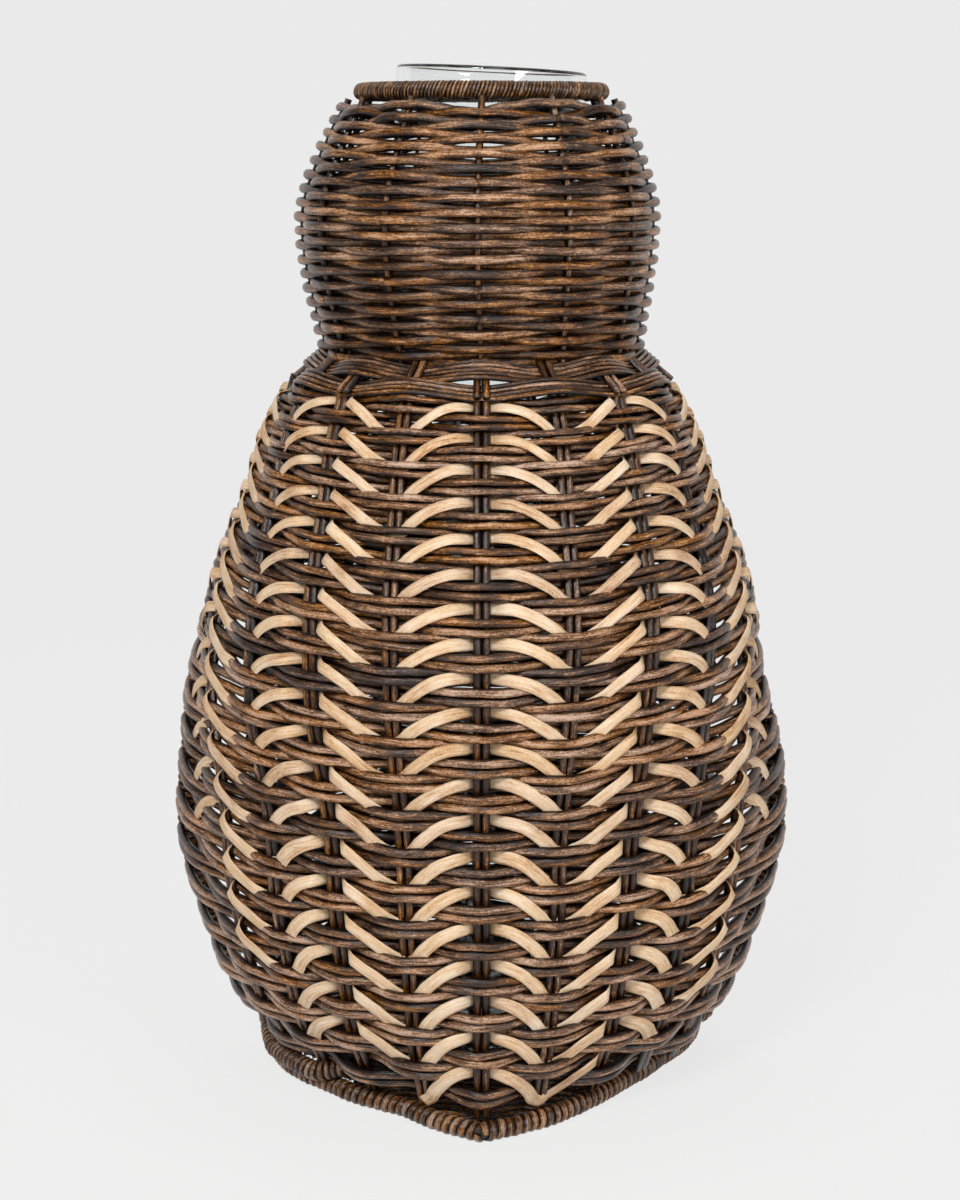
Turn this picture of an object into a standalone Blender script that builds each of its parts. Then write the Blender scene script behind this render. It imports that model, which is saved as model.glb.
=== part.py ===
"""Woven owl vase: a wicker owl with a loose glass cylinder in its open head.

Lengths are in metres, +Z is up and the floor is at Z = 0. The owl's back faces -Y and
its face +Y. Angles round the body are counted from the back, positive towards +X.
"""

import math

import bmesh
import bpy
from mathutils import Matrix, Vector

# Clearances
GAP = 0.0003            # between pieces that touch
STAKE_GAP = 0.0005      # between a stake and the wall that it lies on
BORDER_GAP = 0.0008     # between the cloak's edge and its border
BELLY_GAP = 0.0005      # between the belly's edges and the innermost rows of the cloak
MOUTH_GAP = 0.0005      # between the leaning glass and the rim

# Wicker
WALL = 0.0045           # thickness of a woven wall
HEAD_STAKE_RADIUS = 0.0014
BODY_STAKE_RADIUS = 0.0016
PAIR_GROOVE_ANGLE = 140.0   # how far each rod of a double stake is round, degrees

# Base
TAIL_REACH = 0.0906     # from the head's axis back to the tail's point on the floor
BASE_HALF_WIDTH = 0.093
BASE_FRONT_REACH = 0.108
BASE_SHIFT = 0.033      # how far the base's widest line lies in front of the axis
SHIFT_HEIGHT = 0.165    # above this the sections are centred on the axis
TAIL_POINT = 0.0296     # how far the tail's point stands out of the rounded base
TAIL_HEIGHT = 0.055     # above this the back is rounded
TAIL_ANGLE = 40.0       # half of the angle that the point takes up, degrees
HOOP_RADIUS = 0.004
FLOOR_THICKNESS = 0.006

# Body, by height above the floor
WING_HEIGHT = 0.110
WING_HALF_WIDTH = 0.1285
WING_BACK_REACH = 0.113
BODY_RISE = 0.076           # from the wings' widest line up to the round body
BODY_RADIUS = 0.1185
CHEST_RISE = 0.066          # from the round body up to the chest
CHEST_RADIUS = 0.0995
SHOULDER_RISE = 0.0395      # from the chest up to the cloak's top edge
BODY_TOP_RADIUS = 0.0785

# Wing borders
BORDER_RADIUS = 0.003
BORDER_SIDE_ANGLE = 90.0    # where the free edge runs up the sides, degrees
BORDER_TOP_ANGLE = 150.0    # where it meets the neck, degrees
BORDER_TURN_HEIGHT = 0.150  # above this it swings towards the front

# Stakes of the back, as degrees between neighbours at each height
BACK_STAKE_SIDE_COUNT = 4
PITCH_BASE = 14.5
PITCH_WING = 13.6
PITCH_BODY = 17.5
PITCH_TOP = 22.0

# Rows of the cloak, each a pair of rods that passes the stakes in front and behind in turn
BAND_THICKNESS = 0.0022
WEAVE_ROOM = 0.0012     # between a stake and the crown of a row that passes it
SWING_REACH = 0.38      # how far beside a stake a row starts to swing past it, in stake pitches
TOP_BAND = 0.0050       # height of the plain row under the neck
ROW_HEIGHT = 0.0057     # height of the first woven row
ROW_GROWTH = 0.00007    # how much each row is higher than the one above
ROW_RISE = 0.017        # how far the rows climb from the back's middle to its sides
RISE_BELOW = 0.120      # length over which the climb grows from nothing at the hoop
RISE_ABOVE = 0.090      # length over which it fades to nothing at the cloak's top edge
SIDE_COLUMNS = 6        # columns of faces between the last stake and the border

# Belly, the front wall between the wings
BELLY_BASE_HALF_WIDTH = 0.0845
BELLY_HALF_WIDTH = 0.0945
BELLY_CHEST_HALF_WIDTH = 0.0860
BELLY_TOP_HALF_WIDTH = 0.0650
BELLY_FRONT_REACH = 0.1050
BELLY_CHEST_REACH = 0.0880
BELLY_STAKE_SIDE_COUNT = 3
BELLY_STAKE_PITCH = 21.0    # degrees

# Neck and head
NECK_RISE = 0.0100          # from the cloak's top edge up to the head's bottom edge
NECK_BAND_THICKNESS = 0.007
NECK_CROWN = 0.0009         # how far the sloping band swells above its inner end
HEAD_BASE_RADIUS = 0.064
HEAD_RADIUS = 0.0732
HEAD_MIDDLE_RISE = 0.0535   # from the head's bottom edge up to its widest line
HEAD_RISE = 0.101           # from the head's bottom edge up to its top edge
HEAD_TOP_RADIUS = 0.0575
HEAD_STAKE_COUNT = 12
HEAD_ROW_COUNT = 33
HEAD_RELIEF = 0.0011        # how far the head's rods swing in and out round its stakes
HEAD_COLUMNS = 3            # columns of faces from one stake of the head to the next
STAKE_SLANT = 1.08          # allowance for the slope of the head's wall

# Rim of the mouth
RIM_INNER_RADIUS = 0.0423
RIM_OUTER_RADIUS = 0.0545
RIM_THICKNESS = 0.009

# Glass insert
GLASS_RADIUS = 0.038
GLASS_WALL = 0.0025
GLASS_BASE = 0.006
GLASS_PROUD = 0.0035        # how far its top centre stands above the rim
GLASS_LEAN = 2.7            # degrees, top towards +X

# Face
EYE_RISE = 0.0525           # from the head's bottom edge up to the eyes
EYE_ANGLE = 21.0            # degrees to each side of the face's middle
EYE_RING_RADIUS = 0.0030
EYE_DISC_RADIUS = 0.0182
EYE_DISC_THICKNESS = 0.004
PUPIL_RADIUS = 0.0078
PUPIL_HEIGHT = 0.0045
BEAK_DROP = 0.017           # from the eyes down to the beak's root
BEAK_LENGTH = 0.025
BEAK_ROOT_RADIUS = 0.0058
BEAK_TIP_RADIUS = 0.0012
BEAK_SEAT = 0.90            # share of the root's radius that stands off the face

# Levels that the pieces share
BODY_HEIGHT = WING_HEIGHT + BODY_RISE
CHEST_HEIGHT = BODY_HEIGHT + CHEST_RISE
BODY_TOP = CHEST_HEIGHT + SHOULDER_RISE
HOOP_TOP = 2 * HOOP_RADIUS
WALL_BOTTOM = HOOP_TOP + GAP
HALF_TURN = 180.0

SWING = BODY_STAKE_RADIUS + WEAVE_ROOM + BAND_THICKNESS / 2
CLOAK_DEPTH = WALL / 2 + SWING + BAND_THICKNESS / 2

# Sections of the long pieces; the belly's wall and stakes share theirs
CLOAK_SECTIONS = 19
BELLY_ROWS = 9

# Fineness of the turned pieces
TURN_STEPS = 40
NECK_BAND_SIDES = 10


def smooth(stations, position):
    """Read a smooth curve through (position, value) stations that never overshoots them."""
    stations = sorted(stations)
    places = [place for place, value in stations]
    values = [value for place, value in stations]
    if position <= places[0]:
        return values[0]
    if position >= places[-1]:
        return values[-1]
    count = len(places)
    rises = [(values[i + 1] - values[i]) / (places[i + 1] - places[i]) for i in range(count - 1)]
    slopes = [rises[0]]
    for before, after in zip(rises, rises[1:]):
        slopes.append(0.0 if before * after <= 0 else 2 * before * after / (before + after))
    slopes.append(rises[-1])
    index = max(i for i in range(count - 1) if places[i] <= position)
    length = places[index + 1] - places[index]
    t = (position - places[index]) / length
    start = values[index] * (1 + 2 * t) + length * slopes[index] * t
    end = values[index + 1] * (3 - 2 * t) + length * slopes[index + 1] * (t - 1)
    return start * (1 - t) ** 2 + end * t ** 2


def half_width(height):
    """Half of the body's width, over the wings."""
    return smooth([(0.0, BASE_HALF_WIDTH), (WING_HEIGHT, WING_HALF_WIDTH), (BODY_HEIGHT, BODY_RADIUS),
                   (CHEST_HEIGHT, CHEST_RADIUS), (BODY_TOP, BODY_TOP_RADIUS)], height)


def back_reach(height):
    """How far the middle of the back lies behind the axis."""
    return smooth([(0.0, TAIL_REACH), (WING_HEIGHT, WING_BACK_REACH), (BODY_HEIGHT, BODY_RADIUS),
                   (CHEST_HEIGHT, CHEST_RADIUS), (BODY_TOP, BODY_TOP_RADIUS)], height)


def front_reach(height):
    """How far the middle of the front lies before the axis."""
    return smooth([(0.0, BASE_FRONT_REACH), (BODY_HEIGHT, BODY_RADIUS),
                   (CHEST_HEIGHT, CHEST_RADIUS), (BODY_TOP, BODY_TOP_RADIUS)], height)


def section_shift(height):
    """How far the widest line of the section lies before the axis."""
    return BASE_SHIFT * max(0.0, 1 - height / SHIFT_HEIGHT) ** 2


def body_point(height, angle):
    """Point on the outer face of the body, at an angle in degrees from the back."""
    turn = math.radians(angle)
    shift = section_shift(height)
    tail = TAIL_POINT * max(0.0, 1 - height / TAIL_HEIGHT) ** 2
    x = half_width(height) * math.sin(turn)
    if math.cos(turn) > 0:
        point_share = max(0.0, 1 - abs(angle) / TAIL_ANGLE)
        depth = back_reach(height) + shift - tail
        y = shift - depth * math.cos(turn) - tail * point_share ** 1.15
    else:
        y = shift - (front_reach(height) - shift) * math.cos(turn)
    return Vector((x, y, height))


def outward(surface, height, angle):
    """Unit normal of a surface that is given by height and angle."""
    step = 0.0005
    turn_step = 0.25
    along = surface(height, angle + turn_step) - surface(height, angle - turn_step)
    up = surface(min(height + step, BODY_TOP), angle) - surface(max(height - step, 0.0), angle)
    return along.cross(up).normalized()


def offset_point(surface, height, angle, distance):
    """Point at a distance outside a surface."""
    return surface(height, angle) + outward(surface, height, angle) * distance


def border_angle(height):
    """Angle at which the cloak's free edge lies."""
    rise = max(0.0, (height - BORDER_TURN_HEIGHT) / (BODY_TOP - BORDER_TURN_HEIGHT))
    return BORDER_SIDE_ANGLE + (BORDER_TOP_ANGLE - BORDER_SIDE_ANGLE) * min(1.0, rise) ** 1.2


def border_point(height):
    """Centre of the wing border, on the +X side."""
    return offset_point(body_point, height, border_angle(height), -BORDER_RADIUS)


def cloak_edge_angle(height):
    """Angle at which the woven cloak stops, clear of its border."""
    step = 0.002
    angle = border_angle(height)
    radius = half_width(height)
    rise = math.radians(border_angle(height + step) - border_angle(height - step)) * radius
    slant = math.hypot(rise, 2 * step) / (2 * step)
    return angle - math.degrees((BORDER_RADIUS + BORDER_GAP) * slant / radius)


def belly_half_width(height):
    """Half of the belly's width."""
    return smooth([(0.0, BELLY_BASE_HALF_WIDTH), (WING_HEIGHT, BELLY_HALF_WIDTH),
                   (BODY_HEIGHT, BELLY_HALF_WIDTH), (CHEST_HEIGHT, BELLY_CHEST_HALF_WIDTH),
                   (BODY_TOP, BELLY_TOP_HALF_WIDTH)], height)


def belly_reach(height):
    """How far the middle of the belly lies before the axis."""
    base = BASE_FRONT_REACH - HOOP_RADIUS / 2
    return smooth([(0.0, base), (WING_HEIGHT, BELLY_FRONT_REACH), (BODY_HEIGHT, BELLY_FRONT_REACH),
                   (CHEST_HEIGHT, BELLY_CHEST_REACH), (BODY_TOP, BELLY_TOP_HALF_WIDTH)], height)


def inner_point(height, angle, depth):
    """Point inside the body, level with its outer face and at a depth square to that face."""
    normal = outward(body_point, height, angle)
    level = Vector((normal.x, normal.y, 0.0))
    return body_point(height, angle) - level * (depth / level.length_squared)


def belly_start(height):
    """Depth at which the belly's side meets the inner face of the cloak."""
    width = belly_half_width(height)
    clear = CLOAK_DEPTH + BELLY_GAP
    low = 20.0
    high = 90.0
    for _ in range(24):
        middle = (low + high) / 2
        if inner_point(height, middle, clear).x < width:
            low = middle
        else:
            high = middle
    return inner_point(height, high, clear).y


def belly_point(height, angle):
    """Point on the outer face of the belly, at 60 to 300 degrees; 180 is the front's middle.

    From 90 degrees on it is an ellipse. Below that it runs straight back to the cloak, which it
    meets at 60 degrees.
    """
    side = angle if angle <= HALF_TURN else 2 * HALF_TURN - angle
    sign = 1.0 if angle <= HALF_TURN else -1.0
    if side <= 90:
        depth = belly_start(height) * (90 - side) / 30
        return Vector((sign * belly_half_width(height), depth, height))
    turn = math.radians(side)
    x = sign * belly_half_width(height) * math.sin(turn)
    return Vector((x, -belly_reach(height) * math.cos(turn), height))


def head_radius(height):
    """Outer radius of the head."""
    return smooth([(HEAD_BOTTOM, HEAD_BASE_RADIUS), (HEAD_BOTTOM + HEAD_MIDDLE_RISE, HEAD_RADIUS),
                   (HEAD_TOP, HEAD_TOP_RADIUS)], height)


def cloak_rim():
    """Radius and height of the middle of the cloak's top edge face, moved up by the gap."""
    normal = outward(body_point, BODY_TOP - GAP, 90)
    middle = body_point(BODY_TOP, 90) - normal * (WALL / 2)
    return Vector((middle.x - normal.z * GAP, middle.z + normal.x * GAP))


HEAD_BOTTOM = BODY_TOP + NECK_RISE
HEAD_TOP = HEAD_BOTTOM + HEAD_RISE
RIM_BOTTOM = HEAD_TOP + GAP
RIM_TOP = RIM_BOTTOM + RIM_THICKNESS
EYE_HEIGHT = HEAD_BOTTOM + EYE_RISE


def clear_scene():
    """Remove what the scene holds at the start."""
    for item in list(bpy.data.objects):
        bpy.data.objects.remove(item, do_unlink=True)


def make_material(name, colour, roughness, alpha=1.0):
    """Principled material with one colour."""
    material = bpy.data.materials.new(name)
    material.use_nodes = True
    shader = material.node_tree.nodes["Principled BSDF"]
    shader.inputs["Base Color"].default_value = (*colour, 1.0)
    shader.inputs["Roughness"].default_value = roughness
    shader.inputs["Metallic"].default_value = 0.0
    shader.inputs["Alpha"].default_value = alpha
    material.diffuse_color = (*colour, alpha)
    return material


def add_object(name, data, material):
    """Put a mesh or curve in the owl's collection."""
    item = bpy.data.objects.new(name, data)
    item.data.materials.append(material)
    owl_collection.objects.link(item)
    return item


def shade_round(item):
    """Smooth shading with sharp corners kept."""
    item.data.shade_smooth()
    item.data.set_sharp_from_angle(angle=math.radians(40))


def add_turned(name, profile, material, steps=TURN_STEPS):
    """Turn a profile of (radius, height) points round Z; it runs down its outer side."""
    mesh = bpy.data.meshes.new(name)
    corners = [(radius, 0.0, height) for radius, height in profile]
    edges = [(i, (i + 1) % len(corners)) for i in range(len(corners))]
    mesh.from_pydata(corners, edges, [])
    item = add_object(name, mesh, material)
    screw = item.modifiers.new("turn", 'SCREW')
    screw.axis = 'Z'
    screw.angle = 2 * math.pi
    screw.steps = steps
    screw.render_steps = steps
    screw.use_merge_vertices = True
    screw.merge_threshold = 0.00001
    screw.use_smooth_shade = True
    return item


def add_wall(name, surface, columns, rows, material):
    """Woven wall: a grid laid on surface(u, v), thickened inwards."""
    shape = bmesh.new()
    bmesh.ops.create_grid(shape, x_segments=columns, y_segments=rows, size=0.5)
    for corner in shape.verts:
        corner.co = surface(corner.co.x + 0.5, corner.co.y + 0.5)
    mesh = bpy.data.meshes.new(name)
    shape.to_mesh(mesh)
    shape.free()
    item = add_object(name, mesh, material)
    shade_round(item)
    solid = item.modifiers.new("wall", 'SOLIDIFY')
    solid.thickness = WALL
    solid.offset = -1.0
    solid.use_rim = True
    return item


def add_rod(name, route, radius, material, closed=False, taper=None):
    """Round rod along a list of points."""
    curve = bpy.data.curves.new(name, 'CURVE')
    curve.dimensions = '3D'
    curve.bevel_depth = radius
    curve.bevel_resolution = 1
    curve.use_fill_caps = not closed
    spline = curve.splines.new('POLY')
    spline.points.add(len(route) - 1)
    for index, (knot, place) in enumerate(zip(spline.points, route)):
        knot.co = (*place, 1.0)
        if taper:
            knot.radius = taper(index / (len(route) - 1))
    spline.use_cyclic_u = closed
    return add_object(name, curve, material)


def levels(low, high, count):
    """Evenly spaced values from low to high."""
    return [low + (high - low) * i / (count - 1) for i in range(count)]


def rounded_ring_profile(centre_radius, centre_height, half_span, half_rise, power, count=10):
    """Closed oval profile that starts at the top and runs down its outer side."""
    profile = []
    for i in range(count):
        turn = 2 * math.pi * i / count
        across = math.copysign(abs(math.sin(turn)) ** (2 / power), math.sin(turn))
        upward = math.copysign(abs(math.cos(turn)) ** (2 / power), math.cos(turn))
        profile.append((centre_radius + half_span * across, centre_height + half_rise * upward))
    return profile


def mitred_outline(points, inset):
    """Closed outline moved inwards by an even distance."""
    moved = []
    for i, here in enumerate(points):
        before = (here - points[i - 1]).normalized()
        after = (points[(i + 1) % len(points)] - here).normalized()
        first = Vector((-before.y, before.x, 0.0))
        second = Vector((-after.y, after.x, 0.0))
        middle = (first + second).normalized()
        moved.append(here + middle * (inset / middle.dot(first)))
    return moved


def base_outline(inset, count=48):
    """Egg-shaped outline of the base on the floor, anticlockwise from the tail's point."""
    outer = [body_point(0.0, HALF_TURN * 2 * i / count) for i in range(count // 2 + 1)]
    outer += [Vector((-p.x, p.y, p.z)) for p in reversed(outer[1:-1])]
    return mitred_outline(outer, inset)


def make_base():
    """Wrapped hoop on the floor and the woven floor inside it."""
    hoop = [point + Vector((0, 0, HOOP_RADIUS)) for point in base_outline(HOOP_RADIUS)]
    add_rod("base_hoop", hoop, HOOP_RADIUS, wrap_reed, closed=True)
    curve = bpy.data.curves.new("base_floor", 'CURVE')
    curve.dimensions = '2D'
    curve.fill_mode = 'BOTH'
    curve.extrude = FLOOR_THICKNESS / 2
    spline = curve.splines.new('POLY')
    outline = base_outline(2 * HOOP_RADIUS + GAP)
    spline.points.add(len(outline) - 1)
    for knot, place in zip(spline.points, outline):
        knot.co = (place.x, place.y, 0.0, 1.0)
    spline.use_cyclic_u = True
    floor = add_object("base_floor", curve, dark_reed)
    floor.location.z = FLOOR_THICKNESS / 2


def stake_pitch(height):
    """Degrees between neighbouring stakes of the back."""
    return smooth([(0.0, PITCH_BASE), (WING_HEIGHT, PITCH_WING), (BODY_HEIGHT, PITCH_BODY),
                   (BODY_TOP, PITCH_TOP)], height)


def row_lines():
    """Heights on the back's middle of the lines between the cloak's rows, from the top down."""
    lines = [BODY_TOP, BODY_TOP - TOP_BAND]
    step = ROW_HEIGHT
    while lines[-1] - step > WALL_BOTTOM + ROW_HEIGHT:
        lines.append(lines[-1] - step)
        step += ROW_GROWTH
    return lines + [WALL_BOTTOM]


def line_height(base, angle):
    """Height of a line between rows at an angle, for its height on the back's middle."""
    fade = min(1.0, (base - WALL_BOTTOM) / RISE_BELOW, (BODY_TOP - base) / RISE_ABOVE)
    side = min(abs(angle), 90.0)
    return base + ROW_RISE * fade * (1 - math.cos(math.radians(side)))


def cloak_columns():
    """Columns of the cloak from its left edge to its right; whole numbers are the stakes."""
    last = BACK_STAKE_SIDE_COUNT + SWING_REACH
    right = [last + step / SIDE_COLUMNS for step in range(1, SIDE_COLUMNS + 1)]
    middle = []
    for number in range(-BACK_STAKE_SIDE_COUNT, BACK_STAKE_SIDE_COUNT + 1):
        middle += [number - SWING_REACH, number, number + SWING_REACH]
    return [-column for column in reversed(right)] + middle + right


def column_angle(column, height):
    """Angle of a column; the ones past the last stake share the way to the cloak's edge."""
    last = BACK_STAKE_SIDE_COUNT + SWING_REACH
    inner = min(abs(column), last) * stake_pitch(height)
    past = abs(column) - last
    if past > 0:
        inner += (cloak_edge_angle(height) - inner) * past
    return math.copysign(inner, column)


def make_cloak():
    """Woven back and sides: rows that swing past the stakes and join between them."""
    lines = row_lines()
    columns = cloak_columns()
    row_count = len(lines) - 1
    shape = bmesh.new()
    corners = {}

    def is_parted(line, column):
        """Whether the rows above and below a line come apart at a column, for a stake to pass."""
        return isinstance(column, int) and 0 < line < row_count

    def corner(line, column, row):
        """Outer and inner corner of a row on a line."""
        parted = is_parted(line, column)
        key = (line, column, row if parted else None)
        if key not in corners:
            plain = line in (0, row_count) or abs(column) > BACK_STAKE_SIDE_COUNT + SWING_REACH
            thickness = WALL if plain else BAND_THICKNESS
            middle = -WALL / 2
            if parted and 0 < row < row_count - 1:
                middle += SWING if (row + column) % 2 else -SWING
            height = line_height(lines[line], column_angle(column, lines[line]))
            angle = column_angle(column, height)
            corners[key] = [shape.verts.new(offset_point(body_point, height, angle, middle + side * thickness / 2))
                            for side in (1, -1)]
        return corners[key]

    def add_rim(first, second):
        """Edge face between two corners of a row."""
        shape.faces.new((first[0], second[0], second[1], first[1]))

    for row in range(row_count):
        for left, right in zip(columns, columns[1:]):
            high = [corner(row, left, row), corner(row, right, row)]
            low = [corner(row + 1, left, row), corner(row + 1, right, row)]
            for face in (0, 1):
                shape.faces.new((high[0][face], low[0][face], low[1][face], high[1][face]))
            for line, edge in ((row, high), (row + 1, low)):
                if line in (0, row_count) or is_parted(line, left) or is_parted(line, right):
                    add_rim(*edge)
        for end in (columns[0], columns[-1]):
            add_rim(corner(row, end, row), corner(row + 1, end, row))
    bmesh.ops.recalc_face_normals(shape, faces=shape.faces)
    mesh = bpy.data.meshes.new("back_weave")
    shape.to_mesh(mesh)
    shape.free()
    shade_round(add_object("back_weave", mesh, woven_reed))


def make_borders():
    """Wrapped rods on the cloak's free edges."""
    heights = levels(WALL_BOTTOM, BODY_TOP, CLOAK_SECTIONS)
    heights[0] += BORDER_RADIUS
    heights[-1] -= BORDER_RADIUS
    route = [border_point(height) for height in heights]
    mirrored = [Vector((-p.x, p.y, p.z)) for p in route]
    add_rod("right_wing_border", route, BORDER_RADIUS, wrap_reed)
    add_rod("left_wing_border", mirrored, BORDER_RADIUS, wrap_reed)


def add_double_stake(name, surface, angle_at, heights, lift):
    """Two rods pressed side by side at a lift outside a surface, lofted as one solid."""
    lobe = [math.radians(turn) for turn in levels(-PAIR_GROOVE_ANGLE, PAIR_GROOVE_ANGLE, 5)]
    section = [(1 + math.cos(turn), math.sin(turn)) for turn in lobe]
    section += [(-across, -lifted) for across, lifted in section]
    shape = bmesh.new()
    loops = []
    for height in heights:
        angle = angle_at(height)
        centre = offset_point(surface, height, angle, lift)
        normal = outward(surface, height, angle)
        along = (surface(height, angle + 0.5) - surface(height, angle - 0.5)).normalized()
        loops.append([shape.verts.new(centre + (along * across + normal * lifted) * BODY_STAKE_RADIUS)
                      for across, lifted in section])
    for low, high in zip(loops, loops[1:]):
        for i in range(len(section)):
            shape.faces.new((low[i - 1], high[i - 1], high[i], low[i]))
    shape.faces.new(loops[0])
    shape.faces.new(list(reversed(loops[-1])))
    bmesh.ops.recalc_face_normals(shape, faces=shape.faces)
    mesh = bpy.data.meshes.new(name)
    shape.to_mesh(mesh)
    shape.free()
    shade_round(add_object(name, mesh, dark_reed))


def make_back_stakes():
    """Double uprights in the middle of the cloak's weave, between its plain top and bottom rows."""
    lines = row_lines()
    for number in range(-BACK_STAKE_SIDE_COUNT, BACK_STAKE_SIDE_COUNT + 1):
        name = "back_stake_%d" % (number + BACK_STAKE_SIDE_COUNT + 1)
        low, high = (line_height(base, number * stake_pitch(base)) for base in (lines[-2], lines[1]))
        heights = levels(low + STAKE_GAP, high - STAKE_GAP, CLOAK_SECTIONS)
        add_double_stake(name, body_point, lambda height: number * stake_pitch(height), heights, -WALL / 2)


def make_belly():
    """Woven front wall between the wings, and its double uprights."""
    top = BODY_TOP - NECK_BAND_THICKNESS

    def surface(u, v):
        height = WALL_BOTTOM + (top - WALL_BOTTOM) * v
        return belly_point(height, 60 + 240 * u)

    add_wall("belly_weave", surface, 28, BELLY_ROWS, woven_reed)
    heights = levels(WALL_BOTTOM, top, BELLY_ROWS + 1)
    heights[0] += BODY_STAKE_RADIUS
    heights[-1] -= NECK_BAND_THICKNESS / 2
    lift = STAKE_GAP + BODY_STAKE_RADIUS
    for number in range(-BELLY_STAKE_SIDE_COUNT, BELLY_STAKE_SIDE_COUNT + 1):
        name = "belly_stake_%d" % (number + BELLY_STAKE_SIDE_COUNT + 1)
        angle = HALF_TURN - number * BELLY_STAKE_PITCH
        add_double_stake(name, belly_point, lambda height: angle, heights, lift)


def make_neck():
    """Twisted band of rods that slopes from the cloak's top edge up to the head."""
    low = cloak_rim()
    high = Vector((HEAD_BASE_RADIUS - WALL / 2, HEAD_BOTTOM - GAP - NECK_CROWN))
    centre = (low + high) / 2
    along = (low - high) / 2
    across = Vector((-along.y, along.x)).normalized() * (NECK_BAND_THICKNESS / 2)
    profile = []
    for i in range(NECK_BAND_SIDES):
        turn = 2 * math.pi * i / NECK_BAND_SIDES
        profile.append(centre + along * math.sin(turn) + across * math.cos(turn))
    add_turned("neck_band", profile, dark_reed)


def lies_under_the_face(height, turn):
    """Whether a place on the head carries an eye or the beak."""
    beak_top = EYE_HEIGHT - BEAK_DROP + BEAK_ROOT_RADIUS
    beak_bottom = EYE_HEIGHT - BEAK_DROP - BEAK_LENGTH
    if abs(turn - math.pi) * HEAD_RADIUS < BEAK_ROOT_RADIUS and beak_bottom < height < beak_top:
        return True
    reach = EYE_DISC_RADIUS + 2 * EYE_RING_RADIUS
    for side in (-1, 1):
        eye_turn = math.pi - side * math.radians(EYE_ANGLE)
        across = (turn - eye_turn) * HEAD_RADIUS
        if math.hypot(across, height - EYE_HEIGHT) < reach:
            return True
    return False


def make_head():
    """Round woven head, open at the top and the bottom, with its uprights inside."""
    row_height = HEAD_RISE / HEAD_ROW_COUNT
    outer = [(HEAD_BOTTOM, None)] + [(HEAD_BOTTOM + row_height * (row + 0.5), row) for row in range(HEAD_ROW_COUNT)]
    outer += [(HEAD_TOP, None)]
    inner = [(height, None) for height in levels(HEAD_TOP, HEAD_BOTTOM, 6)]
    column_count = HEAD_STAKE_COUNT * HEAD_COLUMNS
    shape = bmesh.new()
    loops = []
    for index, (height, row) in enumerate(outer + inner):
        loop = []
        for column in range(column_count):
            turn = 2 * math.pi * column / column_count
            radius = head_radius(height) - (WALL if index >= len(outer) else 0.0)
            if row is not None and not lies_under_the_face(height, turn):
                radius -= HEAD_RELIEF * (1 - math.cos(math.pi * (column / HEAD_COLUMNS + row)))
            loop.append(shape.verts.new((radius * math.sin(turn), -radius * math.cos(turn), height)))
        loops.append(loop)
    for low, high in zip(loops, loops[1:] + loops[:1]):
        for i in range(column_count):
            shape.faces.new((low[i - 1], low[i], high[i], high[i - 1]))
    bmesh.ops.recalc_face_normals(shape, faces=shape.faces)
    mesh = bpy.data.meshes.new("head_weave")
    shape.to_mesh(mesh)
    shape.free()
    shade_round(add_object("head_weave", mesh, dark_reed))
    inset = WALL + STAKE_GAP + HEAD_STAKE_RADIUS
    for number in range(HEAD_STAKE_COUNT):
        turn = 2 * math.pi * number / HEAD_STAKE_COUNT
        route = []
        for height in levels(HEAD_BOTTOM + GAP, RIM_BOTTOM - GAP, 8):
            radius = head_radius(height) - inset * STAKE_SLANT
            route.append(Vector((radius * math.sin(turn), -radius * math.cos(turn), height)))
        add_rod("head_stake_%d" % (number + 1), route, HEAD_STAKE_RADIUS, dark_reed)


def make_rim():
    """Wrapped ring of the mouth."""
    profile = rounded_ring_profile((RIM_INNER_RADIUS + RIM_OUTER_RADIUS) / 2,
                                   (RIM_BOTTOM + RIM_TOP) / 2,
                                   (RIM_OUTER_RADIUS - RIM_INNER_RADIUS) / 2,
                                   RIM_THICKNESS / 2, 2.6)
    add_turned("top_rim", profile, wrap_reed)


def make_glass():
    """Clear cylinder that leans on the rim and stands on the woven floor."""
    lean = math.radians(GLASS_LEAN)
    rim_height = (RIM_BOTTOM + RIM_TOP) / 2
    foot_low = FLOOR_THICKNESS + GAP
    foot_centre = foot_low + GLASS_RADIUS * math.sin(lean)
    length = (RIM_TOP + GLASS_PROUD - foot_centre) / math.cos(lean)
    centre_at_rim = RIM_INNER_RADIUS - MOUTH_GAP - GLASS_RADIUS / math.cos(lean)
    foot_x = centre_at_rim - (rim_height - foot_centre) * math.tan(lean)
    edge = GLASS_WALL / 2
    inner = GLASS_RADIUS - GLASS_WALL
    profile = [(inner + edge, length), (GLASS_RADIUS, length - edge), (GLASS_RADIUS, edge),
               (GLASS_RADIUS - edge, 0.0), (0.0, 0.0)]
    hollow = [(0.0, GLASS_BASE), (inner - edge, GLASS_BASE), (inner, GLASS_BASE + edge),
              (inner, length - edge)]
    item = add_turned("glass_insert", profile + hollow, clear_glass)
    item.location = (foot_x, 0.0, foot_centre)
    item.rotation_euler = (0.0, lean, 0.0)
    return item


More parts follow.
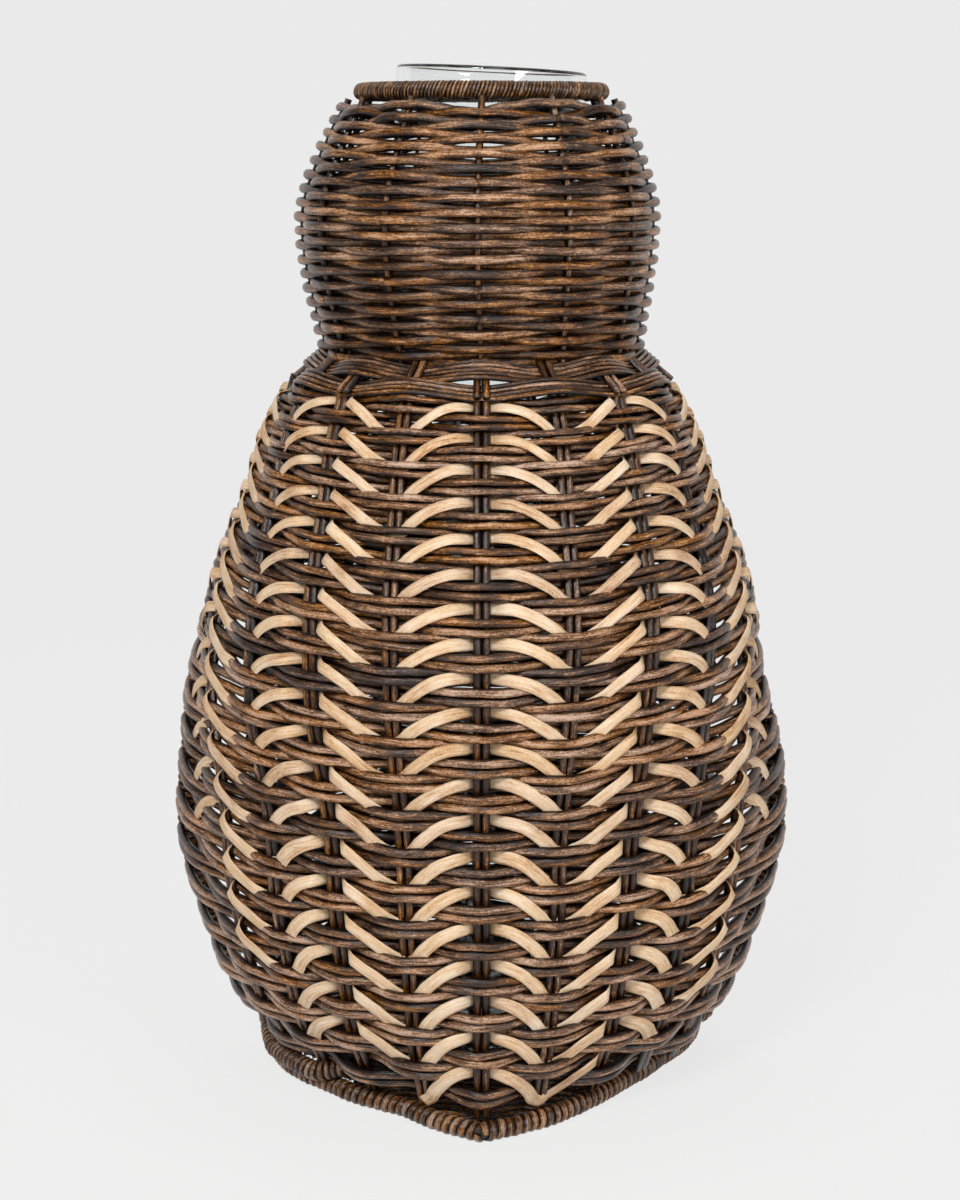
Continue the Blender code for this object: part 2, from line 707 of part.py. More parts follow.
def make_eye(side_name, side):
    """Wrapped ring, coiled disc and round pupil of one eye."""
    turn = math.radians(side * EYE_ANGLE)
    facing = Vector((math.sin(turn), math.cos(turn), 0.0))
    pose = facing.to_track_quat('Z', 'Y').to_matrix().to_4x4()
    disc_centre = head_radius(EYE_HEIGHT) + GAP + EYE_DISC_THICKNESS / 2
    origin = facing * disc_centre + Vector((0, 0, EYE_HEIGHT))

    bpy.ops.mesh.primitive_cylinder_add(vertices=32, radius=EYE_DISC_RADIUS, depth=EYE_DISC_THICKNESS)
    disc = bpy.context.object
    ring_major = EYE_DISC_RADIUS + GAP + EYE_RING_RADIUS
    bpy.ops.mesh.primitive_torus_add(major_radius=ring_major, minor_radius=EYE_RING_RADIUS,
                                     major_segments=28, minor_segments=6)
    ring = bpy.context.object
    for item, name, material in ((disc, "eye_disc", pale_reed), (ring, "eye_ring", wrap_reed)):
        item.name = side_name + "_" + name
        item.data.materials.append(material)
        move_to_owl(item)
        item.matrix_world = Matrix.Translation(origin) @ pose
        shade_round(item)

    dome = [(PUPIL_RADIUS * math.sin(turn_up), PUPIL_HEIGHT * math.cos(turn_up))
            for turn_up in levels(0.0, math.pi / 2, 5)]
    pupil = add_turned(side_name + "_pupil", dome + [(0.0, 0.0)], dark_wood, steps=24)
    front = origin + facing * (EYE_DISC_THICKNESS / 2 + GAP)
    pupil.matrix_world = Matrix.Translation(front) @ pose


def move_to_owl(item):
    """Take an object out of its collections and put it in the owl's."""
    for holder in list(item.users_collection):
        holder.objects.unlink(item)
    owl_collection.objects.link(item)


def make_beak():
    """Curved beak that hangs from the face between the eyes."""
    root_height = EYE_HEIGHT - BEAK_DROP
    route = []
    for share in levels(0.0, 1.0, 7):
        height = root_height - BEAK_LENGTH * share
        lift = head_radius(height) + GAP + BEAK_ROOT_RADIUS * BEAK_SEAT
        bulge = 0.25 * BEAK_LENGTH * math.sin(math.pi * share * 0.8)
        route.append(Vector((0.0, lift + bulge * 0.5, height)))

    def taper(share):
        return 1.0 + (BEAK_TIP_RADIUS / BEAK_ROOT_RADIUS - 1.0) * share ** 1.4

    add_rod("beak", route, BEAK_ROOT_RADIUS, dark_wood, taper=taper)


clear_scene()
owl_collection = bpy.data.collections.new("owl_vase")
bpy.context.scene.collection.children.link(owl_collection)

dark_reed = make_material("dark_reed", (0.095, 0.048, 0.028), 0.45)
woven_reed = make_material("woven_reed", (0.20, 0.12, 0.07), 0.50)
wrap_reed = make_material("wrap_reed", (0.13, 0.072, 0.042), 0.50)
pale_reed = make_material("pale_reed", (0.66, 0.46, 0.30), 0.55)
dark_wood = make_material("dark_wood", (0.035, 0.02, 0.014), 0.35)
clear_glass = make_material("clear_glass", (0.92, 0.96, 0.95), 0.03, alpha=0.35)

make_base()
make_cloak()
make_borders()
make_back_stakes()
make_belly()
make_neck()
make_head()
make_rim()
make_glass()
make_eye("right", 1)
make_eye("left", -1)
make_beak()
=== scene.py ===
"""Looks of the woven owl vase: every rod, strip and wrap is laid strand by strand on the frame.

Lengths are in metres, +Z is up, the owl's back faces -Y. Angles round the body are in degrees
from the back, positive towards +X.
"""

import random
from math import copysign, cos, pi, radians, sin, sqrt, tan

import bpy
import numpy as np
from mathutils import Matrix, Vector


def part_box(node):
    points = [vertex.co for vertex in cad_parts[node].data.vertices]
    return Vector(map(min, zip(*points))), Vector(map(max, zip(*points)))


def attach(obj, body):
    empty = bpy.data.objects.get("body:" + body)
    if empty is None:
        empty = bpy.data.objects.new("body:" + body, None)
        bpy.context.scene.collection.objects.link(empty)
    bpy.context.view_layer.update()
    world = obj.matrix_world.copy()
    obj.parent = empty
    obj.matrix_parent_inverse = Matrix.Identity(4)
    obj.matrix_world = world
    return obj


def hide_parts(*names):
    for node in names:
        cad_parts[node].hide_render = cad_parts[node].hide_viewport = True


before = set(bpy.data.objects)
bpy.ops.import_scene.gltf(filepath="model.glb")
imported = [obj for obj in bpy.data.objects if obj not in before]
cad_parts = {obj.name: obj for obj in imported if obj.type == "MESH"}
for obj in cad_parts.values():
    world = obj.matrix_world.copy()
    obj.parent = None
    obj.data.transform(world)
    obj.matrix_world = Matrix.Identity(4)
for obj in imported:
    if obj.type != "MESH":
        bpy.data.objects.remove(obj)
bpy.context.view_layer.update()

# The frame's own sizes, read off its nodes
BODY_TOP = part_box("back_weave")[1][2]
HEAD_BOTTOM, HEAD_TOP = (corner[2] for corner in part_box("head_weave"))
RIM_BOTTOM, RIM_TOP = (corner[2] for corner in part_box("top_rim"))

# Outline of the body, as (height, reach) stations
HALF_WIDTHS = [(0.0, 0.095), (0.021, 0.103), (0.035, 0.1103), (0.049, 0.1153), (0.11, 0.1282),
               (0.186, 0.1172), (0.212, 0.1117), (0.252, 0.0966), (0.272, 0.0902), (0.2915, 0.08)]
# sideways drift of the outline's two sides, as (height, drift)
SIDE_DRIFTS = [(0.0, 0.0028), (0.045, 0.0), (0.135, 0.0), (0.17, -0.0022), (0.205, -0.0004),
               (0.24, -0.0004), (0.2915, -0.0008)]
BACK_REACHES = [(0.0, 0.0906), (0.11, 0.113), (0.186, 0.1185), (0.252, 0.098), (0.2915, 0.0785)]
FRONT_REACHES = [(0.0, 0.108), (0.186, 0.1185), (0.252, 0.098), (0.2915, 0.0785)]
BELLY_WIDTHS = [(0.0, 0.0845), (0.11, 0.0945), (0.186, 0.0945), (0.252, 0.086), (0.2915, 0.065)]
BELLY_REACHES = [(0.0, 0.106), (0.11, 0.105), (0.186, 0.105), (0.252, 0.088), (0.2915, 0.065)]
HEAD_RADII = [(HEAD_BOTTOM, 0.0648), (HEAD_BOTTOM + 0.0535, 0.073), (HEAD_TOP, 0.0575)]
HEAD_SHIFT = -0.0016  # how far the head's middle bulges sideways
HEAD_TUCK = 0.0016  # how far its top rows are drawn in under the rim
HEAD_TUCK_DEPTH = 0.01
BASE_SHIFT = 0.033  # how far the middle of the base lies forward
SHIFT_HEIGHT = 0.165  # where that shift has faded out
TAIL_POINT = 0.0296  # how far the tail juts out behind
TAIL_HEIGHT = 0.055  # where the tail has faded into the back
TAIL_ANGLE = 40.0  # half the angle that the tail's point takes
BORDER_TURN_HEIGHT = 0.15  # where the wing borders start to swing forward
BORDER_SIDE_ANGLE = 84.0
BORDER_TOP_ANGLE = 150.0
BORDER_POWER = 1.2
BELLY_TOP = BODY_TOP - 0.004
BELLY_PITCH = 21.0  # angle between the belly's uprights
EYE_HEIGHT = HEAD_BOTTOM + 0.0525
UP = np.array([0.0, 0.0, 1.0])

# Wicker sizes; a line is a lift outwards from the outline, and shares are of a row's pitch
SIDE_BY_SIDE = 1.04  # spacing of strands that touch, in widths
TIP_SIZE = 0.03  # share of its size that a tip has
ROD_STEP = 0.0025  # distance between a rod's points, about
STRIP_STEP = 0.0015  # the same for a pale strip
WRAP_DEPTH = 0.0012  # from a wrap's outside to its core
CORE_TONE = 0.2
ROD = 0.002  # radius of the body's stoutest rods
ROD_SHARE = 0.135  # radius of the others
STAKE = 0.0016  # radius of a stake of the body
STAKE_LINE = -0.0046  # of the stakes' centres
CLOAK_DEPTH = 0.0095  # from the cloak's outline to its innermost rods
BORDER = 0.0042  # radius of the wrapped wing border
BORDER_LINE = -0.0042  # of its centre
BORDER_LOOP = 0.0029  # radius at which rods turn round it
HOOP = 0.004  # radius of the wrapped base hoop
# how far inside the outline the hoop's centre lies, by angle round the body
HOOP_INSETS = [(-90, 0.0038), (-57, -0.0033), (-33, -0.0034), (-20, 0.002), (-11, -0.0012),
               (0, -0.003), (15, -0.0032), (32, 0.0012), (57, 0.0088), (90, 0.0045)]
STRIP_SHARE = 0.355  # width of a pale strip
STRIP_THICKNESS = 0.0009
HEAD_ROD = 0.00175
HEAD_STAKE = 0.0014
HEAD_STAKE_LINE = -0.0027  # of their centres
HEAD_STAKE_COUNT = 12
HEAD_ROW_COUNT = 36

# Rows of the cloak
ROW_COUNT = 21
TOP_ROW = 0.29  # height of the first pale strip's crest
TOP_PITCH = 0.0114  # spacing of the first two rows
PITCH_GROWTH = 0.00027  # how much each row is wider than the one above
ROW_RISE = 0.017  # climb from the back's middle to the sides
RISE_BELOW = 0.12  # height over which the climb grows from nothing
RISE_ABOVE = 0.09  # height over which it fades below the top
LOWEST_ROD = 0.0105  # no row runs lower than this
CREST_DROP = 0.0005  # how far a row's upper pair lies below its crest
LAST_ROW = 19  # its lower pair, the lowest of all, sags a little
LAST_ROW_DROP = 0.62  # how far below the crest, as a share of the pitch
REACH_A = 0.0036  # swing of a lower pair past the stakes
REACH_B = 0.0041  # the same for an upper pair
SWING_RISE = 0.3  # how much of the outline's slope it follows
SIDE_COUNT = 4  # stakes to each side of the middle one
STAKE_PITCHES = [(0.0, 14.5), (0.11, 13.6), (0.186, 17.5), (0.2915, 22.0)]
TOP_STAKE_PITCH = STAKE_PITCHES[-1][1]
NECK_INNER = SIDE_COUNT * TOP_STAKE_PITCH
UPPER_ZONE = 0.185  # above this two more stakes stand before each border
SAMPLES = 16  # points between neighbouring stakes

# Pale strips
FULL_ROWS = 14  # rows from the top whose strips run from border to border
EDGE_REACH = 4.45  # stake number at which the lower ones tuck in at the border
STAKE_REACH = 4.08  # stake number at which the next rows' strips end
STRIP_SAMPLES = 24  # points between neighbouring stakes
LOW_SPANS = {17: (-3.0, STAKE_REACH), 18: (-1.95, 2.0), 19: (-1.0, 2.05)}
FRAYED = [(18, -2.0, -2.9), (18, 2.0, 2.94), (17, 3.9, 3.1), (13, -2.1, -2.9)]

random.seed(7)


def smooth(stations, place):
    """Read a smooth curve through (place, value) stations that never overshoots them."""
    places, values = np.array(stations, float).T
    place = np.clip(np.asarray(place, float), places[0], places[-1])
    rises = np.diff(values) / np.diff(places)
    product = rises[:-1] * rises[1:]
    total = rises[:-1] + rises[1:]
    inner = np.where(product > 0, 2 * product / np.where(total == 0, 1, total), 0)
    slopes = np.concatenate([rises[:1], inner, rises[-1:]])
    i = np.clip(np.searchsorted(places, place, side="right") - 1, 0, len(places) - 2)
    length = places[i + 1] - places[i]
    t = (place - places[i]) / length
    start = values[i] * (1 + 2 * t) + length * slopes[i] * t
    end = values[i + 1] * (3 - 2 * t) + length * slopes[i + 1] * (t - 1)
    return start * (1 - t) ** 2 + end * t ** 2


def unit(vectors):
    """Vectors brought to length 1."""
    return vectors / np.maximum(np.linalg.norm(vectors, axis=-1, keepdims=True), 1e-12)


def lengths_along(path):
    """Distance from a path's start to each of its points."""
    steps = np.linalg.norm(np.diff(path, axis=0), axis=1)
    return np.concatenate([[0.0], np.cumsum(steps)])


def around_axis(radius, turn, height):
    """Points at a distance from the upright axis, turned from the back."""
    radius, turn, height = np.broadcast_arrays(radius, turn, height)
    return np.stack([radius * np.sin(turn), -radius * np.cos(turn), height], axis=-1)


def arc(centre, radius, start, end, count):
    """Points of a round in a profile."""
    x, y = centre
    return [(x + radius * cos(t), y + radius * sin(t)) for t in np.linspace(start, end, count)]


def add_object(name, data):
    """New object in the scene."""
    item = bpy.data.objects.new(name, data)
    bpy.context.scene.collection.objects.link(item)
    return item


def add_mesh(name, points, faces, material):
    """New smooth object of one material."""
    mesh = bpy.data.meshes.new(name)
    mesh.from_pydata(points, [], faces)
    mesh.materials.append(material)
    mesh.shade_smooth()
    return add_object(name, mesh)


def matched(height, angle):
    """Heights and angles as arrays of one shape, and the angles in radians."""
    height, angle = np.broadcast_arrays(np.asarray(height, float), np.asarray(angle, float))
    return height, angle, np.radians(angle)


def body_surface(height, angle):
    """Points on the cloak's outline."""
    height, angle, turn = matched(height, angle)
    shift = BASE_SHIFT * np.clip(1 - height / SHIFT_HEIGHT, 0, None) ** 2
    tail = TAIL_POINT * np.clip(1 - height / TAIL_HEIGHT, 0, None) ** 2
    point = np.clip(1 - np.abs(angle) / TAIL_ANGLE, 0, None) ** 1.15
    behind = shift - (smooth(BACK_REACHES, height) + shift - tail) * np.cos(turn) - tail * point
    before = shift - (smooth(FRONT_REACHES, height) - shift) * np.cos(turn)
    x = smooth(HALF_WIDTHS, height) * np.sin(turn) + smooth(SIDE_DRIFTS, height) * np.sin(turn) ** 2
    return np.stack([x, np.where(np.cos(turn) > 0, behind, before), height], axis=-1)


def belly_start(height):
    """Depth at which the belly's side meets the inner side of the cloak, by height."""
    width = smooth(BELLY_WIDTHS, height)
    low, high = np.full(np.shape(height), 20.0), np.full(np.shape(height), 90.0)
    for _ in range(20):
        middle = (low + high) / 2
        inner = body_surface(height, middle) - CLOAK_DEPTH * outward(body_surface, height, middle)
        inside = inner[..., 0] < width
        low, high = np.where(inside, middle, low), np.where(inside, high, middle)
    return inner[..., 1]


def belly_surface(height, angle):
    """Points on the belly's outline; 180 degrees is the middle of the front."""
    height, angle, turn = matched(height, angle)
    side = np.where(angle <= 180, angle, 360 - angle)
    straight = np.clip(90 - side, 0, None) / 30
    x = smooth(BELLY_WIDTHS, height) * np.where(side < 90, np.sign(np.sin(turn)), np.sin(turn))
    depth = -smooth(BELLY_REACHES, height) * np.cos(turn)
    starts = np.linspace(0.0, BODY_TOP, 60)
    start = np.interp(height, starts, belly_start(starts))
    return np.stack([x, np.where(side < 90, start * straight, depth), height], axis=-1)


def head_surface(height, angle):
    """Points on the head's outline."""
    height, angle, turn = matched(height, angle)
    tuck = HEAD_TUCK * np.clip(1 - (HEAD_TOP - height) / HEAD_TUCK_DEPTH, 0, 1) ** 1.5
    radius = smooth(HEAD_RADII, height) - tuck
    bulge = np.sin(np.pi * np.clip((height - HEAD_BOTTOM) / (HEAD_TOP - HEAD_BOTTOM), 0, 1))
    return np.stack([HEAD_SHIFT * bulge + radius * np.sin(turn), -radius * np.cos(turn), height], axis=-1)


def outward(surface, height, angle):
    """Unit normals of a surface that is given by height and angle."""
    along = surface(height, angle + 0.3) - surface(height, angle - 0.3)
    up = surface(height + 0.0006, angle) - surface(height - 0.0006, angle)
    return unit(np.cross(along, up))


def lifted(surface, height, angle, lift):
    """Points at a lift outside a surface, and its normals there."""
    normal = outward(surface, height, angle)
    return surface(height, angle) + normal * np.reshape(lift, (-1, 1)), normal


def border_angle(height):
    """Angle at which the cloak's free edge lies."""
    rise = np.clip((height - BORDER_TURN_HEIGHT) / (BODY_TOP - BORDER_TURN_HEIGHT), 0, 1)
    return BORDER_SIDE_ANGLE + (BORDER_TOP_ANGLE - BORDER_SIDE_ANGLE) * rise ** BORDER_POWER


class Bundle:
    """Strands gathered into one mesh, with a tone, a place round the strand for painted shade, and a grain
    position at every point.
    """

    def __init__(self):
        self.parts, self.count = [], 0

    def strand(self, path, facing, width, thickness, tone, sides=8, closed=False):
        """Sweep an oval along a path: thickness lies along the facing vectors, width across."""
        path = np.asarray(path, float)
        if closed:
            ahead = np.roll(path, -1, axis=0) - np.roll(path, 1, axis=0)
        else:
            ahead = np.gradient(path, axis=0)
        ahead = unit(ahead)
        across = unit(np.cross(ahead, facing))
        facing = np.cross(across, ahead)
        distance = lengths_along(path)
        tone, width, thickness = (np.broadcast_to(np.asarray(value, float), (len(path),))
                                  for value in (tone, width, thickness))
        if not closed:
            order = np.concatenate([[0], np.arange(len(path)), [len(path) - 1]])
            path, across, facing = path[order], across[order], facing[order]
            distance, tone = distance[order], tone[order]
            end = np.ones(len(order))
            end[[0, -1]] = TIP_SIZE
            width, thickness = width[order] * end, thickness[order] * end
        turn = np.arange(sides) * (2 * pi / sides)
        high = np.multiply.outer(thickness, np.cos(turn))
        wide = np.multiply.outer(width, np.sin(turn))
        rings = path[:, None, :] + high[..., None] * facing[:, None, :]
        rings = rings + wide[..., None] * across[:, None, :]
        seed = random.random()
        onward = np.repeat(distance[:, None], sides, axis=1)
        grain = np.stack([onward + 9 * seed, high + seed, wide + 2 * seed], axis=-1)
        rows = len(path)
        first = np.arange(rows if closed else rows - 1)[:, None] * sides
        second = (first + sides) % (rows * sides)
        here = np.arange(sides)[None, :]
        there = (here + 1) % sides
        quads = np.stack([first + here, first + there, second + there, second + here], axis=-1)
        # the cosine round each strand, 1 on its outer crown, drives the painted shade on the strand's
        # sides
        self.parts.append((rings.reshape(-1, 3), quads.reshape(-1, 4) + self.count, np.repeat(tone, sides),
                           np.tile(np.cos(turn), rows), grain.reshape(-1, 3)))
        self.count += rows * sides

    def build(self, name, material):
        """Make the object."""
        points, quads, tones, crown_shades, grains = (np.concatenate(part) for part in zip(*self.parts))
        mesh = bpy.data.meshes.new(name)
        mesh.vertices.add(len(points))
        mesh.vertices.foreach_set("co", points.ravel())
        mesh.loops.add(quads.size)
        mesh.loops.foreach_set("vertex_index", quads.ravel())
        mesh.polygons.add(len(quads))
        mesh.polygons.foreach_set("loop_start", np.arange(0, quads.size, 4))
        mesh.update(calc_edges=True)
        # the second layer holds the place round each strand that the reed materials turn into painted
        # shade
        layers = (("tone", "FLOAT", "value", tones), ("crown_shade", "FLOAT", "value", crown_shades),
                  ("grain", "FLOAT_VECTOR", "vector", grains))
        for layer, kind, field, values in layers:
            mesh.attributes.new(layer, kind, "POINT").data.foreach_set(field, values.ravel())
        mesh.shade_smooth()
        mesh.validate()
        mesh.materials.append(material)
        return add_object(name, mesh)


def wander(count, step, reach):
    """Slow random drift along a strand, one value for each of its points."""
    place = np.arange(count) * step
    drift = np.zeros(count)
    for length in (0.11, 0.047, 0.019):
        phase = random.uniform(0, 2 * pi)
        drift += sqrt(length) * np.sin(place * 2 * pi / length + phase)
    # the three waves add up to about 0.6
    return drift * reach / 0.6


def row_crest(row):
    """Height of a pale strip's crest on the back's middle line."""
    return TOP_ROW - TOP_PITCH * row - PITCH_GROWTH * row * (row - 1) / 2


def row_pitch(row):
    """Distance down to the next crest."""
    return TOP_PITCH + PITCH_GROWTH * row


def edge_number(height):
    """Stake number that the wing border counts as."""
    return SIDE_COUNT + (3 if height > UPPER_ZONE else 1)


def stake_angle(number, height, last):
    """Angle of a place between the stakes, numbered from the back's middle to the border's last."""
    number = np.asarray(number, float)
    pitch = smooth(STAKE_PITCHES, height)
    share = np.clip(np.abs(number) - SIDE_COUNT, 0, None) / (last - SIDE_COUNT)
    angle = np.minimum(np.abs(number), SIDE_COUNT) * pitch
    return np.sign(number) * (angle + share * (border_angle(height) - SIDE_COUNT * pitch))


def row_height(base, number, last):
    """Height of a row beside a stake number, for its height on the middle line."""
    angle = np.clip(np.abs(stake_angle(number, base, last)), 0, 90)
    fade = min(1.0, base / RISE_BELOW, max(0.0, BODY_TOP - base) / RISE_ABOVE)
    return base + ROW_RISE * fade * (1 - np.cos(np.radians(angle)))


def crossing(number, last):
    """Phase of the weave: whole numbers at the stakes, hurried on towards the wing border."""
    extra = np.clip(np.abs(number) - SIDE_COUNT, 0, None)
    if last == SIDE_COUNT + 1:
        extra = np.minimum(1.0, extra / 0.6)
    return np.minimum(np.abs(number), SIDE_COUNT) + extra


def place_on_body(height, angle, lift):
    """Points and normals at a lift outside the stakes' centre surface."""
    centre, normal = lifted(body_surface, height, angle, STAKE_LINE)
    level = unit(normal * np.array([1.0, 1.0, SWING_RISE]))
    return centre + level * lift[:, None], normal


def border_frame(height, side):
    """Centre, normal and edge direction of the wing border on one side."""
    angle = side * border_angle(height)
    centre, normal = lifted(body_surface, height, angle, BORDER_LINE)
    edge = unit(body_surface(height, angle + 0.5) - body_surface(height, angle - 0.5)) * side
    return centre, normal, edge


def pair_base(row, kind, rank):
    """Height on the middle line of one rod of a pair, and its radius."""
    pitch = row_pitch(row)
    radius = min(ROD, ROD_SHARE * pitch)
    share = 0.0
    if kind == "A":
        share = 0.5 if row < LAST_ROW else LAST_ROW_DROP
    base = row_crest(row) - CREST_DROP - pitch * share
    return base + rank * radius * (1 if kind == "B" else -1), radius


def border_turn(start, end, behind_first, direction):
    """Points and normals of a rod that turns round the border between two heights."""
    t = np.linspace(0, 1, 15)[1:-1]
    turn = pi * (1 - t if behind_first else t)
    down = np.clip(2 * t if behind_first else 2 * t - 1, 0, 1)
    centre, normal, edge = border_frame(start + (end - start) * down, direction)
    around = np.cos(turn)[:, None] * normal + np.sin(turn)[:, None] * edge
    return centre + around * BORDER_LOOP, around


def weaver_route(rank):
    """One rod's way to and fro down the cloak, round the wing borders at every turn.

    Gives its points, normals and radii, and where it lies hidden behind a stake.
    """
    parts = []
    direction = -1
    runs = [(row, kind) for row in range(ROW_COUNT) for kind in "BA"]
    runs = [run for run in runs if pair_base(*run, 0)[0] > LOWEST_ROD]
    for run, following in zip(runs, runs[1:] + [None]):
        kind = run[1]
        base, radius = pair_base(*run, rank)
        last = edge_number(base)
        count = 2 * last * SAMPLES + 1
        number = np.linspace(-last, last, count) * direction
        height = row_height(base, number, last)
        angle = stake_angle(number, height, last)
        edge_share = np.clip(np.abs(number) - (last - 1), 0, 1)
        side = np.clip(np.abs(number) - 2.5, 0, 1)
        reach = (REACH_A if kind == "A" else REACH_B) * (1 - 0.4 * side)
        reach = reach + (BORDER_LOOP - reach) * edge_share
        middle = (BORDER_LINE - STAKE_LINE) * edge_share
        swing = np.cos(pi * crossing(number, last)) * (1 if kind == "A" else -1)
        free = 1 - edge_share ** 4
        height_drift = free * wander(count, ROD_STEP, 0.0005)
        lift = middle + reach * swing + free * wander(count, ROD_STEP, 0.0003)
        here, normal = place_on_body(height + height_drift, angle, lift)
        parts.append((here, normal, radius * (1 + 0.1 * side * (1 - edge_share)), swing < -0.97))
        if following is None:
            break
        next_base = pair_base(*following, rank)[0]
        next_last = edge_number(next_base)
        end = float(row_height(next_base, float(next_last), next_last))
        here, normal = border_turn(height[-1], end, kind == "A", direction)
        parts.append((here, normal, np.full(len(here), radius), np.zeros(len(here), bool)))
        direction = -direction
    return [np.concatenate(part) for part in zip(*parts)]


def lay_weavers(bundle):
    """Both rods of the pair, cut into strands of their own tone behind the stakes."""
    for rank in (-1, 1):
        path, facing, radii, hidden = weaver_route(rank)
        start = 0
        length = 0.0
        goal = random.uniform(0.35, 0.9)
        for i in range(1, len(path)):
            length += np.linalg.norm(path[i] - path[i - 1])
            if (length > goal and hidden[i]) or i == len(path) - 1:
                part = slice(start, i + 1)
                size = radii[part] * random.uniform(0.93, 1.03)
                size = size * (1 + wander(i + 1 - start, ROD_STEP, 0.025))
                bundle.strand(path[part], facing[part], size, size * 0.97, random.random())
                start = i
                length = 0.0
                goal = random.uniform(0.35, 0.9)


# Ways of a pale strip from an even stake to the odd one beside it, as (share of the way, value):
# its drop as a share of the pitch, and its lift over the stakes' centres
OUTER_DROP = [(0, 0), (0.3, 0.03), (0.45, 0.13), (0.55, 0.25), (0.66, 0.44), (0.77, 0.67),
              (0.86, 0.92), (1, 1.08)]
HOOK_DROP = [(0, 0), (0.15, 0.03), (0.3, 0.11), (0.45, 0.25), (0.58, 0.46), (0.68, 0.7),
             (0.78, 0.93), (1, 1.08)]
LOW_HOOK_DROP = [(0, 0), (0.2, 0.04), (0.4, 0.16), (0.6, 0.44), (0.75, 0.78), (0.87, 1), (1, 1.08)]
INNER_DROP = [(0, 0), (0.14, 0.01), (0.26, 0.08), (0.38, 0.23), (0.52, 0.46), (0.7, 0.78),
              (0.82, 0.94), (1, 1.08)]
STEEP_DROP = [(0, 0), (0.08, 0.12), (0.2, 0.36), (0.44, 0.64), (0.72, 0.85), (0.9, 1), (1, 1.08)]
EDGE_DROP = [(0, 0), (0.1, 0.02), (0.2, 0.14), (0.3, 0.52), (0.38, 0.86), (0.45, 1.05), (1, 1.05)]
SLOW_LIFT = [(0, -0.0022), (0.1, -0.002), (0.2, 0.0006), (0.34, 0.0028), (0.55, 0.0037),
             (0.72, 0.003), (1, 0.001)]
HOOK_LIFT = [(0, -0.0022), (0.1, -0.0018), (0.2, 0.002), (0.3, 0.0044), (0.4, 0.0046),
             (0.58, 0.0043), (0.68, 0.0037), (0.78, 0.002), (0.9, 0.0012), (1, 0.001)]
INNER_LIFT = [(0, -0.0022), (0.09, -0.0018), (0.17, 0.0018), (0.25, 0.0044), (0.34, 0.0046), (0.5, 0.0034),
              (0.6, 0.0026), (0.7, 0.0018), (0.84, 0.001), (1, 0.0007)]
FAST_LIFT = [(0, -0.0022), (0.05, -0.001), (0.12, 0.0038), (0.24, 0.0044), (0.5, 0.0036),
             (0.68, 0.0036), (0.82, 0.0022), (1, 0.001)]
EDGE_LIFT = [(0, -0.0022), (0.08, -0.0018), (0.2, 0.0012), (0.3, 0.0026), (0.42, 0.002), (1, 0.001)]


def strip_way(away, drops, lifts):
    """Drop and lift of a strip at shares of its way to the odd stake, which it passes in front."""
    over = 0.002 - 0.07 * (1 - away) ** 2
    return smooth(drops, away), np.maximum(smooth(lifts, away), over)


def strip_shape(number, last, low):
    """Drop, as a share of the pitch, and lift of a pale strip at stake numbers."""
    number = np.abs(number)
    drop, lift = np.zeros_like(number), np.zeros_like(number)
    for even in range(0, last + 1, 2):
        away = number - even
        outer = (away >= 0) & (away <= 1)
        inner = (away < 0) & (away >= -1)
        edge = even + 1 == last and last == SIDE_COUNT + 1
        if even == 0:
            shape = (OUTER_DROP, SLOW_LIFT)
        elif edge:
            shape = (EDGE_DROP, EDGE_LIFT)
        else:
            shape = (LOW_HOOK_DROP, SLOW_LIFT) if low else (HOOK_DROP, HOOK_LIFT)
        drop[outer], lift[outer] = strip_way(away[outer], *shape)
        shape = (INNER_DROP, INNER_LIFT) if even == 2 else (STEEP_DROP, FAST_LIFT)
        drop[inner], lift[inner] = strip_way(-away[inner], *shape)
    return drop, lift


def strip_path(row, number):
    """Points and normals of a row's strip at stake numbers."""
    base = row_crest(row)
    last = edge_number(base)
    drop, lift = strip_shape(number, last, row > FULL_ROWS)
    count = len(number)
    crest = row_height(base, number, last)
    angle = stake_angle(number, crest, last)
    height = crest - drop * row_pitch(row) + wander(count, STRIP_STEP, 0.0006)
    return place_on_body(height, angle, lift + wander(count, STRIP_STEP, 0.0002))


def lay_strips(bundle):
    """Pale flat strips: behind the even stakes, then down and out under the next row's rods."""
    for row in range(ROW_COUNT - 1):
        last = edge_number(row_crest(row))
        reach = EDGE_REACH if row < FULL_ROWS else STAKE_REACH
        if last > SIDE_COUNT + 1:
            reach = last
        low, high = LOW_SPANS.get(row, (-reach, reach))
        count = int((high - low) * STRIP_SAMPLES) + 1
        path, facing = strip_path(row, np.linspace(low, high, count))
        width = STRIP_SHARE * row_pitch(row) / 2 * (1 + wander(count, STRIP_STEP, 0.1))
        bundle.strand(path, facing, width, STRIP_THICKNESS / 2, random.random(), sides=10)
    for row, start, stop in FRAYED:
        lay_frayed(bundle, row, start, stop)


def lay_frayed(bundle, row, start, stop):
    """Short strip that splits into fibres of unequal length towards its broken end."""
    fibres, count = 4, 30
    width = STRIP_SHARE * row_pitch(row)
    for fibre in range(fibres):
        side = (fibre + 0.5) / fibres - 0.5
        share = np.linspace(0, random.uniform(0.86, 1.0), count)
        path, facing = strip_path(row, start + (stop - start) * share)
        across = unit(np.cross(np.gradient(path, axis=0), facing))
        spread = width * side * (0.85 + 0.25 * share ** 2)
        bundle.strand(path + across * spread[:, None], facing, width / fibres * 0.85,
                      STRIP_THICKNESS * 0.5, random.uniform(0.2, 0.8), sides=6)


